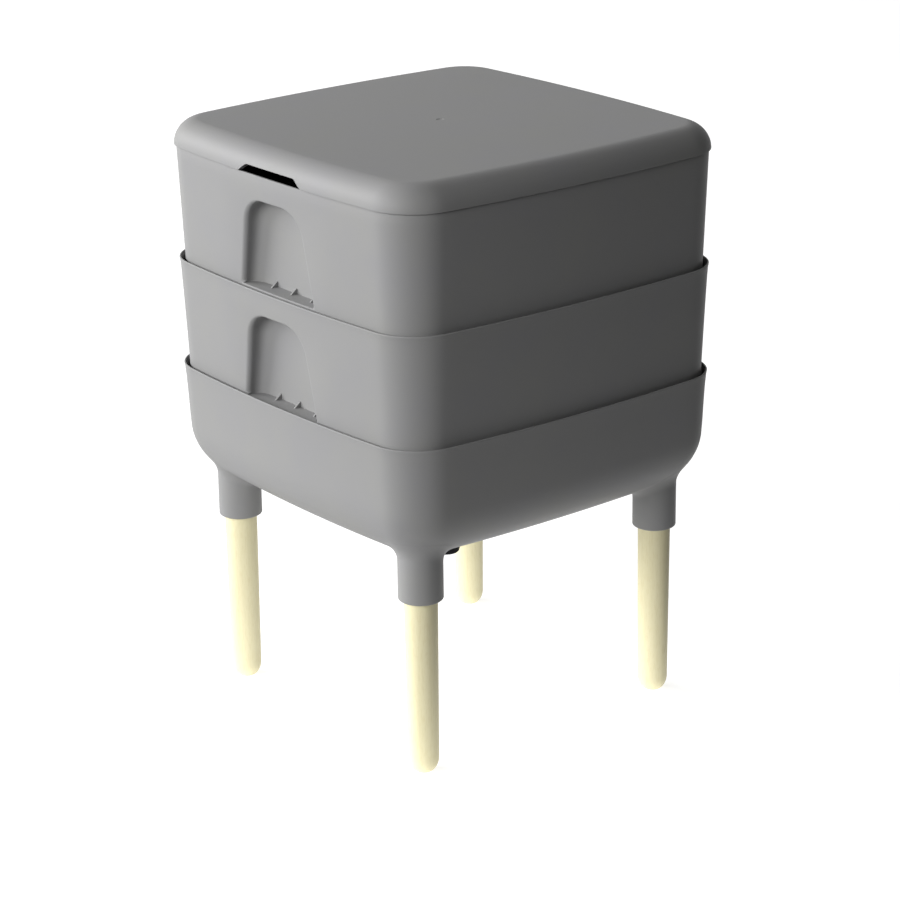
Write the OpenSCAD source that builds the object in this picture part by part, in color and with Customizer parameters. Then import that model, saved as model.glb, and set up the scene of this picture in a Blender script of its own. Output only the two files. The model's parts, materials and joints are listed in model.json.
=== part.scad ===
// Stacking wormery: a domed lid, two trays with moulded hand pockets, and a
// collector bowl with a drain tap, standing on four turned wooden legs.
// Millimetres. +Z is up, the leg tips stand on z = 0, and the hand pockets face
// along the X axis. The four sides bow outwards and taper downwards.

/* [Plan shape] */
// Width across two facing walls at a rim, at mid side
body_w = 374.4; // [340:0.2:420]
// Radius of the outward bow of each side
side_bow_r = 1711; // [1200:1:2600]
// Plan radius of the corners of a wall at its rim
corner_r = 46; // [38:0.5:60]
// Thickness of the moulded walls
wall = 2.4; // [1.8:0.1:3.2]
// Inward taper of a wall, as a share of its height
taper_share = 0.038; // [0.02:0.001:0.06]

/* [Rims] */
// How far a rim bead stands proud of its wall
bead_out = 1.6; // [0.8:0.1:2.4]
// Height of a rim bead
bead_h = 3.6; // [2.5:0.1:6]
// Edge round of a rim bead
bead_edge_r = 1; // [0.4:0.1:1.5]

/* [Trays] */
// Height of a tray from its underside to its rim
tray_h = 121.3; // [110:0.1:135]
// Height that each tray adds to the stack
stack_pitch = 103.4; // [96:0.1:108]
// Clearance under a tray on the pocket roofs that carry it
seat_gap = 0.1; // [0.05:0.05:0.3]
// Extra height of the plain rim of the upper tray
plain_rim_extra = 1.6; // [0:0.1:4]
// Edge round between a tray wall and its underside
tray_edge_r = 1.5; // [0.8:0.1:2]
// Fillet between a tray wall and its floor
tray_fillet_r = 2.5; // [1.5:0.1:5]
// Diameter of the holes in a tray floor
floor_hole_d = 5; // [3:0.1:5]
// Distance between the holes in a tray floor
floor_hole_pitch = 21; // [14:0.5:40]
// Least distance from the outermost holes to the outside of the wall
floor_hole_margin = 40; // [34:0.5:60]

/* [Hand pockets] */
// Height of the pocket ledge above the underside of the tray
ledge_h = 18.1; // [14:0.1:24]
// Half width of the pocket mouth at its ledge
pocket_half_w = 56; // [46:0.5:70]
// Inward slope of the pocket sides, as a share of their height
pocket_slope_share = 0.12; // [0.05:0.01:0.2]
// Round of the two upper corners of the pocket mouth
pocket_corner_r = 33; // [20:0.5:36]
// Distance of the pocket back from the middle of the tray
pocket_back_x = 166.5; // [160:0.5:170]
// Blend of the pocket sides into its back
pocket_blend_r = 25; // [16:0.5:27]
// Blend of the pocket roof into its back
roof_blend_r = 7; // [4:0.5:10]
// Thickness of the gussets on the ledge
gusset_t = 1.8; // [1.2:0.1:2.5]
// Reach of a gusset over the ledge
gusset_reach = 8; // [5:0.5:11]
// Height of a gusset above the ledge
gusset_h = 5; // [3:0.5:8]
// Distance between the gussets
gusset_pitch = 28.6; // [18:0.2:30]
// Place of the middle gusset beside the middle of the pocket
gusset_shift = 7.5; // [-10:0.5:10]

/* [Lid] */
// Height of the lid from its lower edge to its top
lid_h = 22.6; // [18:0.1:32]
// Round between the side and the top of the lid
lid_round_r = 22.9; // [12:0.1:30]
// Thickness of the skirt that covers the tray rim
skirt_t = 1.6; // [1.2:0.1:2.2]
// Gap between the skirt and the tray wall
skirt_gap = 0.35; // [0.2:0.05:0.8]
// How far the skirt reaches below the tray rim
skirt_drop = 1; // [0.5:0.1:3]
// Thickness of the locating flange inside the tray rim
flange_t = 2; // [1.4:0.1:3]
// Gap between the flange and the inside of the tray wall
flange_gap = 0.7; // [0.3:0.05:1.5]
// How far the flange reaches below the tray rim
flange_drop = 7.5; // [4:0.5:14]
// Thickness of the ribs that rest on the tray rim
seat_rib_t = 2; // [1.4:0.1:3]
// Distance between the ribs that rest on the tray rim
seat_rib_pitch = 52; // [44:1:54]
// Width of a finger notch at the lower edge of the lid
notch_w = 84; // [60:1:110]
// Height of a finger notch
notch_h = 7; // [4:0.5:9]
// Diameter of the moulding gate mark on the lid
gate_d = 7; // [4:0.5:10]
// Depth of the moulding gate mark
gate_depth = 0.4; // [0.2:0.1:0.8]

/* [Collector bowl] */
// Height of the underside of the bowl above the ground
bowl_z = 200; // [170:1:240]
// Height of the bowl from its underside to its rim
bowl_h = 116.2; // [110:0.2:140]
// Width of the blend between the bowl side and its bottom
bowl_blend_w = 65; // [50:1:75]
// Height of the blend between the bowl side and its bottom
bowl_blend_h = 59; // [45:1:70]
// Thickness of the bowl bottom
bowl_floor_t = 2.6; // [2:0.1:4]
// Smallest plan corner radius of the bowl, at its bottom
bowl_corner_r = 12; // [10:0.5:20]
// Depth of the tray seat below the bowl rim
seat_drop = 21; // [16:0.1:30]
// Reach of the seat ribs from the bowl wall
bowl_rib_reach = 10; // [8:0.5:14]
// Height of the seat ribs
bowl_rib_h = 28; // [18:1:34]
// Thickness of the seat ribs
bowl_rib_t = 2; // [1.4:0.1:3]
// Distance between the seat ribs along a side
bowl_rib_pitch = 86; // [60:1:100]

/* [Legs] */
// Distance of a leg axis inside the middle of a rim side
leg_inset = 50.7; // [45:0.1:59]
// Diameter of a leg in its socket
leg_d = 29.8; // [24:0.1:32]
// Diameter of a leg just above its round tip
leg_tip_d = 27.6; // [20:0.1:31]
// Height of the round tip
leg_round_h = 14; // [6:0.5:20]
// Diameter of the flat that the tip stands on
leg_flat_d = 9; // [4:0.5:16]
// Gap between a leg and its bore
leg_gap = 0.1; // [0.05:0.01:0.2]
// Wall of a leg socket
socket_wall = 5; // [3:0.1:7]
// How far a socket reaches below the bowl
socket_drop = 35; // [20:1:50]
// How far a leg reaches above the underside of the bowl
socket_rise = 17; // [14:0.5:30]
// Edge round at the mouth of a socket
socket_edge_r = 1.5; // [0.5:0.1:2.5]

/* [Drain tap] */
// Radius of the spout
spout_r = 12.5; // [11:0.1:15]
// How far the mouth of the spout lies below the bowl
spout_drop = 68; // [58:0.5:90]
// Edge round at the mouth of the spout
spout_edge_r = 3; // [1:0.1:4]
// Radius of the bore through the tap
tap_bore_r = 6.5; // [4:0.1:7]
// Radius of the barrel
barrel_r = 15; // [13.5:0.1:17]
// Radius of the tail that passes through the bowl
tail_r = 12.9; // [10:0.1:14]
// Height of the tail above the bowl floor
tail_h = 15; // [13:0.5:20]
// Gap between the tail and what it passes through
tail_gap = 0.25; // [0.1:0.05:0.5]
// Radius of the flange under the bowl
flange_r = 21; // [18:0.5:23]
// Thickness of the flange under the bowl
flange_h = 4; // [3:0.1:6]
// Radius of the two rubber seals
seal_r = 20; // [17:0.5:22]
// Thickness of the two rubber seals
seal_t = 2.5; // [1.5:0.1:4]
// Width of the nut across its corners
nut_w = 42; // [36:0.5:48]
// Height of the nut
nut_h = 8; // [5:0.5:10]
// How far the plug axis lies below the bowl
plug_drop = 24; // [21.5:0.5:28]
// Radius of the plug
plug_r = 8.95; // [8:0.05:9.5]
// Running gap round the plug
plug_gap = 0.05; // [0.03:0.01:0.1]
// Radius of the housing round the plug
housing_r = 13.5; // [12.5:0.1:14.5]
// Half length of the housing
housing_half = 18; // [16.5:0.5:20]
// Gap at each end of the housing
end_gap = 0.3; // [0.2:0.05:0.5]
// Radius of the plug hub and of the washer
hub_r = 12; // [10.5:0.5:13]
// Thickness of the plug hub
hub_t = 5; // [3:0.5:7]
// Half length of the wing handle
wing_half = 18; // [14:0.5:20]
// Thickness of the wing handle
wing_t = 5; // [4:0.5:7]
// Reach of the wing handle from the hub
wing_reach = 13; // [9:0.5:15]
// Thickness of the washer
washer_t = 1.5; // [1:0.1:2]
// Radius of the head of the plug screw
screw_head_r = 5; // [4:0.5:6]
// Height of the head of the plug screw
screw_head_h = 3; // [2:0.5:4]
// Radius of the shank of the plug screw
screw_r = 2; // [1.5:0.1:2.5]
// Length of the shank of the plug screw in the plug
screw_l = 9; // [6:0.5:9]
// Width of the cross recess of the plug screw
recess_w = 1; // [0.6:0.1:1.4]
// Radius of the section of an O-ring
o_ring_r = 1.1; // [0.8:0.1:1.3]
// Distance of each O-ring from the middle of the plug
o_ring_y = 13; // [11:0.5:14]

/* [Hidden] */

rim_half = body_w / 2;
// A small overrun for cuts and a thin slice for lofts
over = wall / 2;
slice_t = wall / 100;

// Heights of the stack
bowl_rim_z = bowl_z + bowl_h;
lower_z = bowl_rim_z - seat_drop;
upper_z = lower_z + stack_pitch;
upper_rim_z = upper_z + tray_h + plain_rim_extra;
lid_z = upper_rim_z - skirt_drop;

// The four side arcs and four corner arcs that every rim shares. A line that
// runs at a depth d inside the rim outline keeps the same centres.
bow_x = rim_half - side_bow_r;
corner_k = arc_meet(rim_half, corner_r, side_bow_r);
corner_a = atan2(corner_k, corner_k - bow_x);
bow_fn = 720;
corner_fn = 96;
round_fn = 48;

// Depths inside the rim outline
lid_out = -(skirt_t + skirt_gap);
flange_out = wall + flange_gap;
floor_band = wall + tray_fillet_r + taper_share * tray_h;
floor_band_in = floor_band + wall * 4;

plastic = "dimgray";
dark_plastic = "#26262a";
rubber = "#1c1c1e";
wood = "burlywood";
steel = "silver";

// Where the centre of a corner arc lies on the diagonal, for an outline with
// half width w, corner radius r and side radius bow
function arc_meet(w, r, bow) =
    let (c = w - bow, q = bow - r) (c + sqrt(2 * q * q - c * c)) / 2;

// Points on an arc round [cx, cy] from angle a0 to angle a1 in n steps
function arc(cx, cy, r, a0, a1, n) =
    [for (i = [0 : n]) let (a = a0 + (a1 - a0) * i / n) [cx + r * cos(a), cy + r * sin(a)]];

// A closed bowed square outline
function outline(w, r, bow) =
    let (c = w - bow, k = arc_meet(w, r, bow), a = atan2(k, k - c), step = (90 - 2 * a) / 6)
    [for (q = [0 : 3])
        for (p = concat(arc(c, 0, bow, -a, a, 6), arc(k, k, r, a + step, 90 - a - step, 4)))
            [p[0] * cos(90 * q) - p[1] * sin(90 * q), p[0] * sin(90 * q) + p[1] * cos(90 * q)]];

// A wall that follows the rim outline; its profile is a list of [depth, height]
module outline_wall(profile)
    for (q = [0 : 3]) rotate(90 * q) {
        translate([bow_x, 0, 0])
            rotate_extrude(angle = 2 * corner_a, start = -corner_a, $fn = bow_fn)
                polygon([for (p = profile) [side_bow_r - p[0], p[1]]]);
        translate([corner_k, corner_k, 0])
            rotate_extrude(angle = 90 - 2 * corner_a, start = corner_a, $fn = corner_fn)
                polygon([for (p = profile) [corner_r - p[0], p[1]]]);
    }

// Puts its children at places along each side, counted in pitches from its
// middle, with the X axis square to the wall and its origin on the rim outline
module along_sides(pitch, steps)
    for (q = [0 : 3], step = steps) rotate(90 * q) translate([bow_x, 0, 0])
        rotate(step * pitch / side_bow_r * 180 / PI) translate([side_bow_r, 0, 0]) children();

// Depth of the outer wall face at a height above the tray underside
function tray_depth(z) = taper_share * (tray_h - z);

function tray_profile(top, beaded) =
    let (foot = tray_depth(0), inner = tray_depth(wall) + wall, in_r = tray_fillet_r)
    concat(
        arc(foot + tray_edge_r, tray_edge_r, tray_edge_r, -90, -180, 4),
        beaded ? concat(
            [[tray_depth(top - bead_h - bead_out), top - bead_h - bead_out / 2],
             [tray_depth(top) - bead_out, top - bead_h + bead_out / 2]],
            arc(tray_depth(top) - bead_out + bead_edge_r, top - bead_edge_r, bead_edge_r, 180, 90, 3))
            : [[tray_depth(top), top]],
        [[tray_depth(top) + wall, top]],
        arc(inner + in_r, wall + in_r, in_r, 180, 270, 4),
        [[floor_band_in, wall], [floor_band_in, 0]]);

// One level of the pocket: an arch-topped outline in the YZ plane, drawn inwards
// by side_in at its sides and top_in at its roof, and grown by grow all round
function pocket_outline(side_in, top_in, grow, low) =
    let (b = atan(pocket_slope_share), roof = stack_pitch - seat_gap - wall - top_in + grow,
         r = pocket_corner_r - side_in * pocket_corner_r / (pocket_half_w + pocket_corner_r) + grow,
         low_half = pocket_half_w - side_in + grow / cos(b) + (ledge_h - low) * pocket_slope_share,
         top_half = low_half - (roof - low) * pocket_slope_share,
         yc = top_half - r * (1 - sin(b)) / cos(b))
    concat([[low_half, low]], arc(yc, roof - r, r, b, 90, 7),
           arc(-yc, roof - r, r, 90, 180 - b, 7), [[-low_half, low]]);

// A thin upright plate with that outline at x
module pocket_slice(x, side_in, top_in, grow, low, lean = 0)
    translate([x, 0, low]) rotate([0, lean, 0]) translate([0, 0, -low])
        rotate([90, 0, 90]) linear_extrude(slice_t) polygon(pocket_outline(side_in, top_in, grow, low));

// How far a round of radius r draws in at a distance u from the back it meets
function drawn_in(u, r) = u < r ? r - sqrt(r * r - (r - u) * (r - u)) : 0;

// The slices of the blend between the sides and roof of a pocket and its back,
// at turns of the side blend from 90 at the back down to 0 at its mouth
module pocket_blend(turns, grow, low)
    for (turn = turns) {
        u = (pocket_blend_r + grow) * (1 - sin(turn));
        pocket_slice(pocket_back_x - grow + u, (pocket_blend_r + grow) * (1 - cos(turn)),
                     drawn_in(u, roof_blend_r + grow), grow, low);
    }

// The space of a hand pocket, open to the outside
module pocket_space()
    hull() {
        pocket_blend([18, 36, 50, 61, 74, 90], 0, ledge_h);
        pocket_slice(rim_half + bead_out + over, 0, 0, 0, ledge_h);
    }

// The wall round a hand pocket, out to the middle of the tray wall, which leans
// out. Its roof is the seat of the tray above
module pocket_wall() {
    lean = atan(taper_share);
    lean_drop = (stack_pitch - seat_gap) * (1 - 1 / cos(lean));
    hull() {
        pocket_blend([40, 51, 62, 75, 90], wall, over);
        pocket_slice(rim_half - tray_depth(over) - wall * 0.7, over, lean_drop, wall, over, lean);
    }
}

// The hollow under the ledge, open from below
module pocket_underside() {
    flat_half = pocket_half_w - pocket_blend_r;
    out_x = rim_half - tray_depth(0) - wall - pocket_half_w * pocket_half_w / side_bow_r / 2;
    turn = acos(1 - (out_x - pocket_back_x) / pocket_blend_r);
    translate([0, 0, -over]) linear_extrude(ledge_h - wall + over)
        polygon(concat(
            arc(pocket_back_x + pocket_blend_r, flat_half, pocket_blend_r, 180 - turn, 180, 5),
            arc(pocket_back_x + pocket_blend_r, -flat_half, pocket_blend_r, 180, 180 + turn, 5)));
}

module gussets()
    for (i = [-1 : 1])
        translate([pocket_back_x - over, gusset_shift + gusset_pitch * i + gusset_t / 2, ledge_h - over])
            rotate([90, 0, 0]) linear_extrude(gusset_t)
                polygon([[0, 0], [gusset_reach + over, 0], [gusset_reach + over, over],
                         [over, gusset_h + over], [0, gusset_h + over]]);

module tray_floor() {
    run = rim_half - floor_hole_margin;
    count = floor(2 * run / floor_hole_pitch) + 1;
    linear_extrude(wall) difference() {
        polygon(outline(rim_half - floor_band, corner_r - floor_band, side_bow_r - floor_band));
        for (i = [0 : count - 1], j = [0 : count - 1])
            translate([(i - (count - 1) / 2) * floor_hole_pitch, (j - (count - 1) / 2) * floor_hole_pitch])
                circle(d = floor_hole_d, $fn = round_fn);
    }
}

module tray(top, beaded) {
    difference() {
        union() {
            outline_wall(tray_profile(top, beaded));
            tray_floor();
            for (side = [0, 180]) rotate(side) pocket_wall();
        }
        for (side = [0, 180]) rotate(side) {
            pocket_space();
            pocket_underside();
        }
    }
    for (side = [0, 180]) rotate(side) gussets();
}

module lower_tray() color(plastic) translate([0, 0, lower_z]) tray(tray_h, true);
module upper_tray() color(plastic) translate([0, 0, upper_z]) tray(tray_h + plain_rim_extra, false);

lid_cz = lid_h - lid_round_r;
lid_seat = skirt_drop;
lid_flat = lid_out + lid_round_r + wall * 2;
lid_band_in = lid_flat + wall * 2;
// Turn of the round at which a depth inside the rim outline lies on it
function lid_turn(depth, r) = acos((lid_round_r + lid_out - depth) / r);

function lid_profile() =
    let (inner_r = lid_round_r - wall, cx = lid_out + lid_round_r,
         rise = lid_turn(flange_out + flange_t, inner_r), fall = lid_turn(flange_out, inner_r))
    concat(
        [[lid_out + skirt_t / 2, 0], [lid_out, skirt_t / 2]],
        arc(cx, lid_cz, lid_round_r, 176, 90, 12),
        [[lid_band_in, lid_h], [lid_band_in, lid_h - wall], [cx, lid_h - wall]],
        arc(cx, lid_cz, inner_r, 96, 180 - rise, 5),
        [[flange_out + flange_t, lid_seat - flange_drop], [flange_out, lid_seat - flange_drop]],
        arc(cx, lid_cz, inner_r, 180 - fall, 172, 3),
        [[lid_out + skirt_t, lid_seat + skirt_t / 4], [lid_out + skirt_t, 0]]);

// A rib across the groove of the lid; the lid rests on the tray rim with it
module lid_seat_rib() {
    mid_r = lid_round_r - over;
    cx = lid_out + lid_round_r;
    skirt_mid = lid_out + skirt_t / 2;
    flange_mid = flange_out + flange_t / 2;
    profile = concat([[skirt_mid, lid_seat]],
                     arc(cx, lid_cz, mid_r, 170, 180 - lid_turn(flange_mid, mid_r), 4),
                     [[flange_mid, lid_seat]]);
    translate([0, seat_rib_t / 2, 0]) rotate([90, 0, 0]) linear_extrude(seat_rib_t)
        polygon([for (p = profile) [-p[0], p[1]]]);
}

module notch()
    translate([rim_half - flange_out + over / 4, 0, 0]) rotate([90, 0, 90])
        linear_extrude(flange_out - lid_out + over)
            polygon([[-notch_w / 2 - over, -over], [notch_w / 2 + over, -over],
                     [notch_w / 2 - notch_h * 0.8, notch_h], [-notch_w / 2 + notch_h * 0.8, notch_h]]);

module lid() color(plastic) translate([0, 0, lid_z])
    difference() {
        union() {
            outline_wall(lid_profile());
            translate([0, 0, lid_h - wall]) linear_extrude(wall)
                polygon(outline(rim_half - lid_flat, corner_r - lid_flat + wall, side_bow_r - lid_flat));
            along_sides(seat_rib_pitch, [-2.5, -1.5, 1.5, 2.5]) lid_seat_rib();
        }
        for (side = [0, 180]) rotate(side) notch();
        translate([0, 0, lid_h - gate_depth]) cylinder(h = gate_depth + over, d = gate_d, $fn = round_fn);
    }

// The bowl is lofted through level outlines: a tapered wall above, and a
// quarter ellipse from the wall to the bottom
bowl_wall_h = bowl_h - bowl_blend_h;
bowl_knee = rim_half - taper_share * bowl_wall_h;

module bowl_slice(z, half, inset)
    translate([0, 0, z]) linear_extrude(slice_t)
        polygon(outline(half - inset,
                        max(corner_r - 0.6 * (rim_half - half), bowl_corner_r) - inset,
                        side_bow_r - (rim_half - half) - inset));

module bowl_loft(inset, floor_t, top)
    hull() {
        bowl_slice(top - slice_t, rim_half + taper_share * (top - bowl_h), inset);
        for (turn = [0 : 10 : 90])
            bowl_slice(bowl_blend_h - (bowl_blend_h - floor_t) * sin(turn),
                       bowl_knee - (bowl_blend_w - inset) * (1 - cos(turn)), inset);
    }

module bowl_bead()
    hull() {
        bowl_slice(bowl_h - bead_h - bead_out / 2, rim_half - taper_share * bead_h, over / 2);
        bowl_slice(bowl_h - bead_h + bead_out / 2, rim_half, -bead_out);
        bowl_slice(bowl_h - bead_edge_r, rim_half, -bead_out);
        bowl_slice(bowl_h - slice_t, rim_half, bead_edge_r - bead_out);
    }

module at_legs()
    for (sx = [-1, 1], sy = [-1, 1]) translate([sx * leg_pos, sy * leg_pos, 0]) children();

leg_pos = rim_half - leg_inset;
socket_r = leg_d / 2 + leg_gap + socket_wall;

module socket() {
    socket_h = socket_drop + socket_rise + wall;
    translate([0, 0, -socket_drop]) rotate_extrude($fn = round_fn)
        polygon(concat([[0, 0]], arc(socket_r - socket_edge_r, socket_edge_r, socket_edge_r, -90, 0, 3),
                       [[socket_r, socket_h], [0, socket_h]]));
}

module bowl_rib() {
    seat = bowl_h - seat_drop;
    wall_in = taper_share * seat_drop + wall;
    translate([0, bowl_rib_t / 2, 0]) rotate([90, 0, 0]) linear_extrude(bowl_rib_t)
        polygon([[-wall_in + over, seat], [-wall_in - bowl_rib_reach, seat],
                 [-wall_in - bowl_rib_reach, seat - bowl_rib_t],
                 [-wall_in - bowl_rib_h * taper_share + over, seat - bowl_rib_h]]);
}

module collector_bowl() color(plastic) translate([0, 0, bowl_z])
    difference() {
        union() {
            difference() {
                union() {
                    bowl_loft(0, 0, bowl_h);
                    bowl_bead();
                }
                bowl_loft(wall, bowl_floor_t, bowl_h + over);
            }
            at_legs() socket();
            along_sides(bowl_rib_pitch, [-1 : 1]) bowl_rib();
        }
        at_legs() translate([0, 0, -socket_drop - over])
            cylinder(h = socket_drop + socket_rise + over, d = leg_d + 2 * leg_gap, $fn = round_fn);
        translate([0, 0, -over])
            cylinder(h = bowl_floor_t + 2 * over, r = tail_r + tail_gap, $fn = round_fn);
    }

module leg(sx, sy) {
    mouth_z = bowl_z - socket_drop;
    flat_r = leg_flat_d / 2;
    color(wood) translate([sx * leg_pos, sy * leg_pos, 0]) rotate_extrude($fn = round_fn)
        polygon(concat([[0, 0]],
            [for (p = arc(0, 0, 1, -90, 0, 8))
                [flat_r + (leg_tip_d / 2 - flat_r) * p[0], leg_round_h * (1 + p[1])]],
            [[leg_d / 2, mouth_z], [leg_d / 2, bowl_z + socket_rise], [0, bowl_z + socket_rise]]));
}

module leg_front_left() leg(-1, -1);
module leg_front_right() leg(1, -1);
module leg_back_left() leg(-1, 1);
module leg_back_right() leg(1, 1);

tap_flange_z = -seal_t - flange_h;
housing_z = -plug_drop;
barrel_low = housing_z - housing_r - seal_t;

// A ring with a round hole, standing on z
module ring(z, h, r, hole_r)
    translate([0, 0, z]) difference() {
        cylinder(h = h, r = r, $fn = round_fn);
        translate([0, 0, -over]) cylinder(h = h + 2 * over, r = hole_r, $fn = round_fn);
    }

// Lays its children along Y at the height of the plug, z becoming y
module along_plug() translate([0, 0, housing_z]) rotate([-90, 0, 0]) children();

module tap_body() color(dark_plastic) translate([0, 0, bowl_z])
    difference() {
        union() {
            rotate_extrude($fn = round_fn)
                polygon(concat([[0, -spout_drop]],
                    arc(spout_r - spout_edge_r, spout_edge_r - spout_drop, spout_edge_r, -90, 0, 4),
                    [[spout_r, barrel_low - (barrel_r - spout_r)], [barrel_r, barrel_low],
                     [barrel_r, tap_flange_z], [flange_r, tap_flange_z], [flange_r, -seal_t],
                     [tail_r, -seal_t], [tail_r, bowl_floor_t + tail_h], [0, bowl_floor_t + tail_h]]));
            along_plug() translate([0, 0, -housing_half])
                cylinder(h = 2 * housing_half, r = housing_r, $fn = round_fn);
        }
        translate([0, 0, -spout_drop - over])
            cylinder(h = spout_drop + bowl_floor_t + tail_h + 2 * over, r = tap_bore_r, $fn = round_fn);
        along_plug() translate([0, 0, -housing_half - over])
            cylinder(h = 2 * (housing_half + over), r = plug_r + plug_gap, $fn = round_fn);
    }

plug_end = housing_half + end_gap;
groove_r = plug_r - 2 * o_ring_r;

module tap_plug() color(dark_plastic) translate([0, 0, bowl_z]) {
    along_plug() difference() {
        union() {
            translate([0, 0, -plug_end]) cylinder(h = 2 * plug_end, r = plug_r, $fn = round_fn);
            translate([0, 0, -plug_end - hub_t]) cylinder(h = hub_t, r = hub_r, $fn = round_fn);
        }
        for (s = [-1, 1]) ring(s * o_ring_y - o_ring_r * 1.2, o_ring_r * 2.4, plug_r + over, groove_r);
        rotate([0, 90, 0]) translate([0, 0, -plug_r - over])
            cylinder(h = 2 * (plug_r + over), r = tap_bore_r, $fn = round_fn);
        translate([0, 0, plug_end - screw_l])
            cylinder(h = screw_l + over, r = screw_r + plug_gap, $fn = round_fn);
    }
    translate([0, 0, housing_z]) rotate([90, 0, 0]) translate([0, 0, plug_end + hub_t]) wing();
}

// The wing handle, level while the tap is shut
module wing()
    linear_extrude(wing_reach) {
        square([2 * (wing_half - wing_t / 2), wing_t], center = true);
        for (s = [-1, 1]) translate([s * (wing_half - wing_t / 2), 0]) circle(d = wing_t, $fn = round_fn);
        circle(d = 2 * wing_t, $fn = round_fn);
    }

module tap_plug_o_rings() color(rubber) translate([0, 0, bowl_z]) along_plug()
    for (s = [-1, 1]) translate([0, 0, s * o_ring_y]) rotate_extrude($fn = round_fn)
        translate([plug_r - o_ring_r, 0]) circle(r = o_ring_r - plug_gap / 2, $fn = round_fn);

module tap_plug_washer() color(steel) translate([0, 0, bowl_z]) along_plug()
    ring(plug_end, washer_t, hub_r, screw_r + plug_gap);

module tap_plug_screw() color(steel) translate([0, 0, bowl_z]) along_plug()
    difference() {
        union() {
            translate([0, 0, plug_end - screw_l + over])
                cylinder(h = screw_l + washer_t, r = screw_r, $fn = round_fn);
            translate([0, 0, plug_end + washer_t])
                cylinder(h = screw_head_h, r = screw_head_r, $fn = round_fn);
        }
        for (turn = [0, 90]) rotate(turn)
            translate([-screw_head_r * 0.6, -recess_w / 2, plug_end + washer_t + screw_head_h / 2])
                cube([screw_head_r * 1.2, recess_w, screw_head_h]);
    }

module tap_nut() color(dark_plastic) translate([0, 0, bowl_z + bowl_floor_t + seal_t])
    difference() {
        cylinder(h = nut_h, d = nut_w, $fn = 6);
        translate([0, 0, -over]) cylinder(h = nut_h + 2 * over, r = tail_r + tail_gap, $fn = round_fn);
    }

module tap_outer_seal() color(rubber) translate([0, 0, bowl_z])
    ring(-seal_t, seal_t, seal_r, tail_r + tail_gap);

module tap_inner_seal() color(rubber) translate([0, 0, bowl_z])
    ring(bowl_floor_t, seal_t, seal_r, tail_r + tail_gap);

lid();
upper_tray();
lower_tray();
collector_bowl();
leg_front_left();
leg_front_right();
leg_back_left();
leg_back_right();
tap_body();
tap_plug();
tap_plug_o_rings();
tap_plug_washer();
tap_plug_screw();
tap_nut();
tap_outer_seal();
tap_inner_seal();
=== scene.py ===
# %% [markdown]
# # A stacking wormery
# A wormery is a stack of plastic boxes on legs. Worms live in the trays and climb to the
# fresh food, and the liquid drains through the perforated floors into the bowl with its tap.
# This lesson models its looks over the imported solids: thin drafted shells with moulded hand
# pockets, turned wooden legs and a small black tap. Every length is in millimetres here and
# is turned into metres as it goes into a mesh, so the numbers can be read off a drawing.
#
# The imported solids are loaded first. They fix where each piece is and how large it may be,
# and each modelled piece later takes the place of one of them.

# %% The frame
import json
import math

import bmesh
import bpy
from mathutils import Matrix, Vector


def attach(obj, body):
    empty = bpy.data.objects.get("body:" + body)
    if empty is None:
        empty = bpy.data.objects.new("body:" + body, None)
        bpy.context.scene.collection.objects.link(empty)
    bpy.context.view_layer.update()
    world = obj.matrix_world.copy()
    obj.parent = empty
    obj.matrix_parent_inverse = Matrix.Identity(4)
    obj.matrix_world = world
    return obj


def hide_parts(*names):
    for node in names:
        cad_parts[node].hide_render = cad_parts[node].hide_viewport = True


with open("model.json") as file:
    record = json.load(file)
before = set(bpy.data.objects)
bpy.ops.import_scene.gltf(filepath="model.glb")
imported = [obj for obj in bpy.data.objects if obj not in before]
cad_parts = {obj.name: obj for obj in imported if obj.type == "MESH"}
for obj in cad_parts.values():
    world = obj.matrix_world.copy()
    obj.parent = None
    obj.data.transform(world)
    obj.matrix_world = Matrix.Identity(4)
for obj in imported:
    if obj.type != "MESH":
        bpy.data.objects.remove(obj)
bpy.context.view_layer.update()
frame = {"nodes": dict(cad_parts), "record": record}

# %% [markdown]
# ## The camera
# The photograph was taken from the front left, about 20 degrees above the ground, with a
# long lens that keeps the stack's edges nearly parallel. A camera could be dragged into
# place by eye, but then it never quite fits. Here it is set by its turn, height angle, roll,
# distance and focal length, so each can be read and changed alone.

# %% Camera
MM = 0.001
VIEW_TURN, VIEW_RISE, VIEW_ROLL = -38.385, 19.783, -0.784
VIEW_DISTANCE, FOCAL = 2671.57, 116.98
AIM_HEIGHT, AIM_RIGHT, AIM_UP = 300, 5.607, -64.015

turn, rise, roll = (math.radians(v) for v in (VIEW_TURN, VIEW_RISE, VIEW_ROLL))
back = Vector((math.sin(turn) * math.cos(rise), -math.cos(turn) * math.cos(rise), math.sin(rise)))
level = Vector((math.cos(turn), math.sin(turn), 0))
upright = back.cross(level)
right = math.cos(roll) * level + math.sin(roll) * upright
up = math.cos(roll) * upright - math.sin(roll) * level
aim = Vector((0, 0, AIM_HEIGHT)) + AIM_RIGHT * right + AIM_UP * up
spot = (aim + VIEW_DISTANCE * back) * MM

bpy.ops.object.camera_add(location=spot)
camera = bpy.context.object
camera.matrix_world = Matrix.Translation(spot) @ Matrix((right, up, back)).transposed().to_4x4()
camera.data.sensor_width = 36
camera.data.lens = FOCAL
camera.data.clip_end = 100
bpy.context.scene.camera = camera
print("camera at", [round(v, 3) for v in spot])

# %% [markdown]
# ## Finishes
# Colours are written as sRGB hex values, as a colour picker shows them, and one function
# turns them into the linear values that the shader works with. A second small function adds
# a node, sets its inputs and links what it is given.

# %% Colour and node helpers
def linear(hex_colour):
    """A colour written as sRGB hex, in linear light."""
    parts = [int(hex_colour[i:i + 2], 16) / 255 for i in (1, 3, 5)]
    return [v / 12.92 if v <= 0.04045 else ((v + 0.055) / 1.055) ** 2.4 for v in parts] + [1]


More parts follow.
